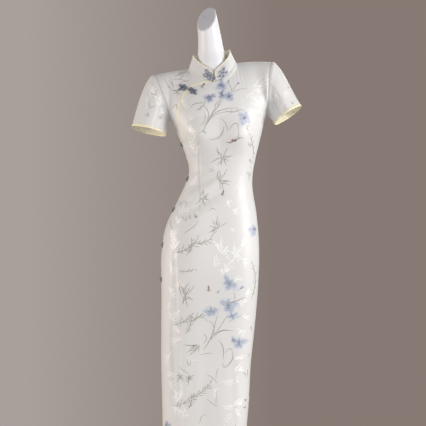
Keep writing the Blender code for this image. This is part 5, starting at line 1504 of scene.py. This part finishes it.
def make_sleeves():
    """Both sleeves, each one's piece and points, and the bindings of their cuffs."""
    made = {}
    for name, sleeve in SLEEVES.items():
        folds = SLEEVE_FOLDS[name] + SLEEVE_CREASES[name]
        points, normals = sleeve_surface(*sleeve, folds)
        # A painted seam shadow runs round the sleeve beside its armhole seam.
        away = np.linalg.norm(points - points[:1], axis=-1)
        piece = shell(f"sleeve_{name}_cloth", points, normals, CLOTH, [f"sleeve_{name}"],
                      ring=True, sewn=bell(away, SEWN_WIDE))
        piping("cuff_{}_" + name, points[-1], normals[-1], points[-3] - points[-1], ring=True,
               wider=CUFF_PIPING_WIDER)
        made[name] = (piece, points)
    return made


def make_collar():
    """The stand collar and the binding round its edge."""
    way = np.linspace(0, 1, COLLAR_HALF_COLUMNS)
    half = COLLAR_EDGE_ANGLE + (np.pi - COLLAR_EDGE_ANGLE) * way**COLLAR_CROWDING
    angles = np.concatenate([half, 2 * np.pi - half[-2::-1]])
    shares = np.linspace(COLLAR_LOWEST, 1, COLLAR_ROWS)
    points, normals = collar_point(angles, shares[:, None])
    piece = shell("collar_cloth", points, normals, COLLAR_CLOTH, ["collar"])
    low = COLLAR_BOUND_FROM
    edge, facing = (np.concatenate([grid[low:-1, 0], grid[-1], grid[-2:low - 1:-1, -1]])
                    for grid in (points, normals))
    towards = -np.cross(facing, unit(np.gradient(edge, axis=0)))
    towards = towards * -np.sign(towards[len(edge) // 2, 2])
    piping("collar_{}", edge, facing, towards, scale=COLLAR_PIPING_SCALE)
    return piece


# ---- Buttons ----

def locate(x, height):
    """Row and column of the front's point that is seen at x and a height above underarm."""
    share = (height - UNDERARM_HEIGHT) / (SHOULDER_TIP[2] - UNDERARM_HEIGHT)
    at = np.array([share, math.degrees(math.asin(x / NECK_SIDE[0] / LOCATE_WIDE))])
    step = np.array(LOCATE_STEP)
    for _ in range(LOCATE_ROUNDS):
        here = plain(at[0], at[1], False)[[0, 2]]
        slopes = [(plain(*(at + step * pick), False)[[0, 2]] - here) / step[k]
                  for k, pick in enumerate(np.eye(2))]
        move = np.linalg.solve(np.array(slopes).T, np.array([x, height]) - here)
        at = at + np.clip(move, -step * LOCATE_REACH, step * LOCATE_REACH)
    return at


def on_cloth(row, column):
    """place() for a button centred on the front at a row and column."""
    step = 0.01
    wide = np.linalg.norm(plain(row, column + 1, False) - plain(row, column - 1, False)) / 2
    tall = np.linalg.norm(plain(row + step, column, False) - plain(row, column, False)) / step
    return lambda dx, dy, out: cloth(row + dy / tall, column + dx / wide, False, out)


def round_side(row, middle):
    """place() that carries on round the right side seam: dx grows towards the front, and
    is 0 at a distance of middle from the seam."""
    seam, beside = plain(row, -90.0, False), plain(row, SIDE_SPAN - 90.0, False)
    wide = np.linalg.norm(beside - seam) / SIDE_SPAN

    def place(dx, dy, out):
        column = -90 + np.abs(middle + dx) / wide
        ahead = np.asarray(middle + dx >= 0)[..., None]
        return np.where(ahead, cloth(row + dy, column, False, out),
                        cloth(row + dy, column, True, out))
    return place


def on_collar(angle, share):
    """place() for a button centred on the collar."""
    def place(dx, dy, out):
        turned = angle + dx / COLLAR_MEAN_RADIUS
        return collar_point(turned, share + dy / COLLAR_HEIGHT, out)[0]
    return place


def node_points(name):
    return np.array([vertex.co for vertex in NODES[name].data.vertices])


def seat_height(name, place):
    """How far above the cloth's middle the solid's underside lies, on its axis."""
    start = place(0.0, 0.0, 0.0)
    up = unit(place(0.0, 0.0, 0.01) - start)
    away = node_points(name) - start
    out = away @ up
    aside = np.linalg.norm(away - out[:, None] * up, axis=1)
    return out[aside < SEAT_RADIUS].min()


def flat_cord(place, u, v, out, half, index):
    """A closed cord through places dx, dy on a surface, its middle at a height out."""
    points = place(u, v, out)
    ups = unit(place(u, v, out + 0.001) - points)
    turn = np.arange(len(points)) / len(points)
    twist = 1 + CORD_TWIST_DEPTH * np.sin(turn * 2 * np.pi * CORD_TWISTS)
    rings = cord_rings(points, ups, half, half * CORD_FLATTER, CORD_SIDES)
    rings = points[:, None] + (rings - points[:, None]) * twist[:, None, None]
    return swept(rings, True, index)


def cords(name, parts, materials):
    """One piece of all the cords of a flower or a knot."""
    new_piece(f"{name}_cords", *joined(parts), materials, [name], "button_cord", volume=False)


def flower(name, place, away, halves, materials):
    """Five rounded loops of cord with a smaller loop in each, and a coil in the middle.
    halves are half the flower's length and half its width."""
    base = seat_height(name, place)
    long, wide = halves
    c, s = math.cos(math.radians(away)), math.sin(math.radians(away))
    parts = []

    def add(u, v, out, half, index):
        dx, dy = long * u * c - wide * v * s, long * u * s + wide * v * c
        parts.append(flat_cord(place, dx, dy, out, half, index))

    swing = 2 * np.pi * np.arange(PETAL_POINTS) / PETAL_POINTS
    out_and_back = (1 - np.cos(swing)) / 2
    for k, turn in enumerate(PETAL_TURNS):
        turn = math.radians(turn) + PETAL_SWING * math.sin(3.1 * k + away)
        for index, (near, far, broad, thick, raised) in enumerate(PETAL_LOOPS):
            half = CORD_HALF * thick
            shorter = PETAL_SHORTER * abs(math.sin(2.2 * k + away))
            tip = far * (1.0 - shorter) - half / min(halves)
            along = near + (tip - near) * out_and_back
            across = broad * np.sin(swing) * (LOOP_NARROW + LOOP_SWELL * out_and_back)
            add(along * math.cos(turn) - across * math.sin(turn),
                along * math.sin(turn) + across * math.cos(turn),
                base + half + raised * MM, half, index)
    ring = 2 * np.pi * np.arange(COIL_POINTS) / COIL_POINTS
    for index, (size, level) in enumerate(COIL_LOOPS):
        add(size * np.cos(ring), size * np.sin(ring), base + CORD_HALF * level,
            CORD_HALF * COIL_THICK, index)
    cords(name, parts, materials)


def knot(name, radius, materials):
    """A ball of cord, wound round three ways."""
    points = node_points(name)
    middle = (points.min(0) + points.max(0)) / 2
    turn = 2 * np.pi * np.arange(KNOT_POINTS) / KNOT_POINTS
    strand = radius * KNOT_STRAND
    parts = []
    for axis in range(3):
        for step in KNOT_STEPS:
            reach = math.sqrt((radius * KNOT_REACH) ** 2 - (radius * step) ** 2)
            reach = reach * (1.0 + KNOT_WIDEN * axis)
            line = np.zeros((KNOT_POINTS, 3))
            line[:, axis] = radius * step
            line[:, (axis + 1) % 3] = reach * np.cos(turn)
            line[:, (axis + 2) % 3] = reach * np.sin(turn)
            line = line @ np.array(KNOT_TILT).T
            rings = cord_rings(middle + line, unit(line), strand, strand, KNOT_SIDES)
            parts.append(swept(rings, True, 0 if axis else 1))
    cords(name, parts, materials)


def make_buttons():
    """One button at the neck, one on the chest and five down the right side."""
    slate, pale, ochre = CORDS["slate"], CORDS["pale"], CORDS["ochre"]
    for half, looks in (("right", [slate, pale]), ("left", [pale, slate])):
        angle, share, away = NECK_FLOWERS[half]
        flower(f"button_neck_{half}", on_collar(angle, share), away, FLOWER_HALVES["neck"],
               looks)
    knot("button_neck_knot", KNOT_RADIUS, [slate, ochre])
    for half, (x, height, away) in CHEST_FLOWERS.items():
        flower(f"button_chest_{half}", on_cloth(*locate(x, height)), away,
               FLOWER_HALVES["chest"], [CORDS["ink"], slate])
    knot("button_chest_knot", KNOT_RADIUS, [slate, ochre])
    for number, height in enumerate(SIDE_BUTTON_HEIGHTS, 1):
        for label, reach, away in (("front", SIDE_REACH, 0), ("back", -SIDE_REACH, 180)):
            flower(f"button_side_{number}_{label}", round_side(height - UNDERARM_HEIGHT, reach),
                   away, FLOWER_HALVES["side"], [CORDS["olive"], ochre])
        knot(f"button_side_{number}_knot", SIDE_KNOT_RADIUS, [CORDS["blue"], ochre])


# ---- Dress form and stand ----

def form_skin(rows, columns, back):
    """Grid of the form's skin under the cloth."""
    rows, columns = np.broadcast_arrays(rows[:, None], columns)
    chest = FORM_CHEST_GAP + (FORM_BODY_GAP - FORM_CHEST_GAP) * ease(-rows / FORM_CHEST_REACH)
    upper = ease((rows - FORM_SHOULDER_ROW) / (1 - FORM_SHOULDER_ROW))
    gap = chest + (FORM_SHOULDER_GAP - FORM_CHEST_GAP) * upper
    return plain(rows, columns, back) - outward(rows, columns, back) * gap[..., None]


def neck_rings(first, angles):
    """Rings from the form's neckline up the neck column to its slanting cut."""
    s, c = np.sin(angles), np.cos(angles)
    x, y, base = neckline(angles)

    def column_ring(height):
        half_width = smooth(NECK_COLUMN, 1, height / MM) * MM
        middle = smooth(NECK_COLUMN, 2, height / MM) * MM
        half_depth = smooth(NECK_COLUMN, 3, height / MM) * MM
        return half_width * s, middle - half_depth * c, height

    rings = [first]
    for share, rise in NECK_FILLET:
        inner_x, inner_y, _ = column_ring(base + rise)
        rings.append(stand(x + (inner_x - x) * share, y + (inner_y - y) * share, base + rise))
    cut = np.full(len(angles), CUT_HEIGHT)
    middle = smooth(NECK_COLUMN, 2, CUT_HEIGHT / MM) * MM
    for _ in range(CUT_ROUNDS):
        x, y, _ = column_ring(cut)
        cut = CUT_HEIGHT + CUT_RISE_SIDE * x + CUT_RISE_BACK * (y - middle)
    start = base + NECK_FILLET[-1][1]
    for share in np.linspace(0, 1, NECK_RINGS)[1:]:
        rings.append(stand(*column_ring(start + (cut - start) * share)))
    return np.array(rings)


def between(rings, parts):
    """More rings on smooth curves through some rings."""
    slopes = np.gradient(rings, axis=0)
    share = np.arange(parts)[:, None, None] / parts
    made = [hermite(share, a, b, u, v)
            for a, b, u, v in zip(rings, rings[1:], slopes, slopes[1:])]
    return np.concatenate(made + [rings[-1:]])


def make_form():
    """Torso, shoulder caps and neck as one smooth body, and the plate on the neck."""
    arm = FORM_ROWS_BELOW - 1
    rows = np.concatenate([np.linspace(FORM_BOTTOM_HEIGHT - UNDERARM_HEIGHT, 0, FORM_ROWS_BELOW),
                           np.linspace(0, 1, FORM_ROWS_ABOVE)[1:]])
    share = np.linspace(-90, 90, FORM_COLUMNS)
    front, back = form_skin(rows, share, False), form_skin(rows, share, True)
    line = (front + back) / 2
    on_neck = np.abs(share) < NECKLINE_COLUMN - NECK_EDGE
    for end in (0, -1):
        front[:arm + 1, end] = back[:arm + 1, end] = line[:arm + 1, end]
    front[-1, ~on_neck] = back[-1, ~on_neck] = line[-1, ~on_neck]
    middle = line[0].mean(axis=0)
    for grid in (front, back):
        for k, scale in FORM_BOTTOM_SCALES:
            grid[k, :, :2] = middle[:2] + (grid[k, :, :2] - middle[:2]) * scale
    parts = []

    def add(grid, ring=False):
        parts.append((grid.reshape(-1, 3), [(quads(*grid.shape[:2], ring), 0)]))

    add(front)
    add(back[:, ::-1])
    bottom = np.concatenate([front[0], back[0, -2:0:-1]])
    heart = bottom.mean(axis=0)
    add(np.array([heart + (bottom - heart) * scale for scale in FORM_BOTTOM_RINGS]), True)
    for end, side in ((0, -1), (-1, 1)):
        loop = np.concatenate([front[arm:, end], back[-2:arm:-1, end]])
        heart = loop.mean(axis=0)
        caps = [loop]
        for turn in np.linspace(0, math.pi / 2, ARM_CAP_RINGS)[1:]:
            bulge = np.array([side * ARM_CAP_BULGE * math.sin(turn), 0, 0])
            caps.append(heart + (loop - heart) * max(math.cos(turn), SMALLEST) + bulge)
        add(np.array(caps if side > 0 else caps[::-1]), True)
    neck = np.abs(share) <= NECKLINE_COLUMN + NECK_EDGE
    ring_front, ring_back = front[-1, neck], back[-1, neck]
    centre = len(ring_front) // 2
    first = np.concatenate([ring_front[centre:], ring_back[-2::-1], ring_front[1:centre]])
    rings = neck_rings(first, np.arange(len(first)) * 2 * np.pi / len(first))
    add(between(rings, NECK_PARTS), True)
    rim = rings[-1]
    heart = rim.mean(axis=0)
    add(np.array([heart + (rim - heart) * scale for scale in CUT_RINGS]), True)
    weld(new_piece("form_body", *joined(parts), [FORM_WHITE], ["dress_form"], "form_white",
                   volume=False))
    up = unit(np.cross(rim[len(rim) // 4] - heart, rim[len(rim) // 2] - heart))
    up = up * np.sign(up[2])
    reach = rim - heart
    long = np.linalg.norm(reach, axis=1, keepdims=True)
    rings = [heart + reach * np.maximum(1 - (CAP_PLATE_INSET + inset * MM) / long, 0.02)
             + up * (CONTACT + out * MM) for inset, out in CAP_PLATE_PROFILE]
    new_piece("neck_plate", *swept(np.array(rings)), [FORM_CAP], ["neck_cap"], "form_cap")


def weld(piece):
    """Joins the parts of a piece where they meet and turns its faces outwards."""
    shape = bmesh.new()
    shape.from_mesh(piece.data)
    bmesh.ops.remove_doubles(shape, verts=shape.verts, dist=WELD_REACH)
    bmesh.ops.recalc_face_normals(shape, faces=shape.faces)
    shape.to_mesh(piece.data)
    shape.free()


def turned(name, node, radius, low, top, soft):
    """A round steel piece on the pole's axis, with a soft upper edge."""
    edge = [(radius - soft + soft * math.cos(t), top - soft + soft * math.sin(t))
            for t in np.linspace(0, math.pi / 2, TURNED_SOFT_POINTS)]
    heart = radius * TURNED_HEART
    profile = [(heart, low), (radius - TURNED_CHAMFER, low), (radius, low + TURNED_CHAMFER), *edge,
               (heart, top)]
    turn = 2 * np.pi * np.arange(TURNED_SIDES) / TURNED_SIDES
    rings = [np.stack([reach * np.cos(turn), reach * np.sin(turn), turn * 0 + height], -1)
             for reach, height in profile]
    new_piece(name, *swept(np.array(rings)), [STEEL], [node], "steel")


def make_stand():
    """Round base plate, socket, pole, and the flange under the form."""
    socket_low = BASE_THICK + CONTACT
    socket_top = socket_low + SOCKET_HEIGHT
    flange_top = FORM_BOTTOM_HEIGHT - CONTACT
    flange_low = flange_top - FLANGE_THICK
    for piece in (
        ("base", "base_plate", BASE_RADIUS, 0.0, BASE_THICK, 2.5 * MM),
        ("socket", "pole_socket", SOCKET_RADIUS, socket_low, socket_top, 2.5 * MM),
        ("pole_tube", "pole", POLE_RADIUS, socket_top + CONTACT, flange_low - CONTACT, 0.5 * MM),
        ("flange", "form_flange", FLANGE_RADIUS, flange_low, flange_top, 1.5 * MM),
    ):
        turned(*piece)


# ---- Put together ----

panels, panel_rows = make_panels()
bind_panels(panels, panel_rows)
sleeves = make_sleeves()
make_collar()
make_buttons()
make_form()
make_stand()
for side, faced in (("front", ("front", "under_front")), ("back", ("back",))):
    covered = [panels[name] for name in faced] + [sleeves["left"], sleeves["right"]]
    Figures([(made[0], made[1].size // 3) for made in covered], side == "back").draw(
        f"woven_{side}", THREADS)


# ---- Stage ----

def area_light(name, place, goal, size, power, colour):
    """A round lamp that shines from a place to a goal."""
    data = bpy.data.lights.new(name, "AREA")
    data.shape = "DISK"
    data.size, data.energy, data.color = size, power, colour
    light = bpy.data.objects.new(name, data)
    bpy.context.scene.collection.objects.link(light)
    light.location = place
    way = Vector(goal) - Vector(place)
    light.rotation_euler = way.to_track_quat("-Z", "Y").to_euler()


def make_floor():
    """A pale round floor that fades out at its edge."""
    turn = 2 * np.pi * np.arange(FLOOR_SIDES) / FLOOR_SIDES
    points = np.array([[radius * np.cos(turn), radius * np.sin(turn), turn * 0 - FLOOR_DROP]
                       for radius in FLOOR_RADII]).transpose(0, 2, 1).reshape(-1, 3)
    made = Shade("pale_floor", 0.7)
    place = made.node("NewGeometry", "Position")
    speck = made.noise(place, [30.0] * 3, 2.0)
    made.set("Base Color", made.mix(made.ease(speck, 0.3, 0.7),
                                    *(paint(*colour) for colour in FLOOR_COLOURS)))
    away = made.node("VectorMath", "Value", [("operation", "LENGTH")], [place])
    made.set("Alpha", made.ease(away, *FLOOR_FADE))
    mesh = bpy.data.meshes.new("floor")
    faces = quads(len(FLOOR_RADII), FLOOR_SIDES, ring=True)
    mesh.from_pydata(points.tolist(), [], faces.tolist())
    mesh.materials.append(made.material)
    floor = bpy.data.objects.new("floor", mesh)
    bpy.context.scene.collection.objects.link(floor)


def make_world():
    """Taupe studio wall for the eye, painted lighter to the left and darker to the right as a painted
    fall of light, and soft light for the cloth.
    """
    world = bpy.data.worlds.new("studio")
    world.use_nodes = True
    bpy.context.scene.world = world
    made = Nodes(world.node_tree)
    made.tree.nodes.clear()
    sideways = made.node("SeparateXYZ", "X", Vector=made.node("TexCoord", "Generated"))
    share = made.node("MapRange", Value=sideways, From_Min=WALL_FROM, From_Max=WALL_TO)
    wall = made.node("Background", Color=made.mix(share, paint(*WALL_LEFT), paint(*WALL_RIGHT)))
    soft = made.node("Background", Color=paint(*SOFT_COLOUR), Strength=SOFT_LIGHT)
    seen = made.node("LightPath", "Is Camera Ray")
    made.node("OutputWorld", Surface=made.node("MixShader", first=[seen, soft, wall]))


def make_camera():
    """The camera, level in front of the dress, and the picture's plain colours."""
    data = bpy.data.cameras.new("camera")
    data.sensor_width = SENSOR_MM
    data.lens = SENSOR_MM * CAMERA_DISTANCE / (PICTURE_SIZE * PIXEL)
    camera = bpy.data.objects.new("camera", data)
    bpy.context.scene.collection.objects.link(camera)
    camera.location = (CAMERA_X, -CAMERA_DISTANCE, CAMERA_Z)
    camera.rotation_euler = (math.pi / 2, 0, 0)
    bpy.context.scene.camera = camera
    bpy.context.scene.view_settings.view_transform = "Standard"


make_floor()
make_world()
make_camera()
for lamp in LIGHTS:
    area_light(*lamp)
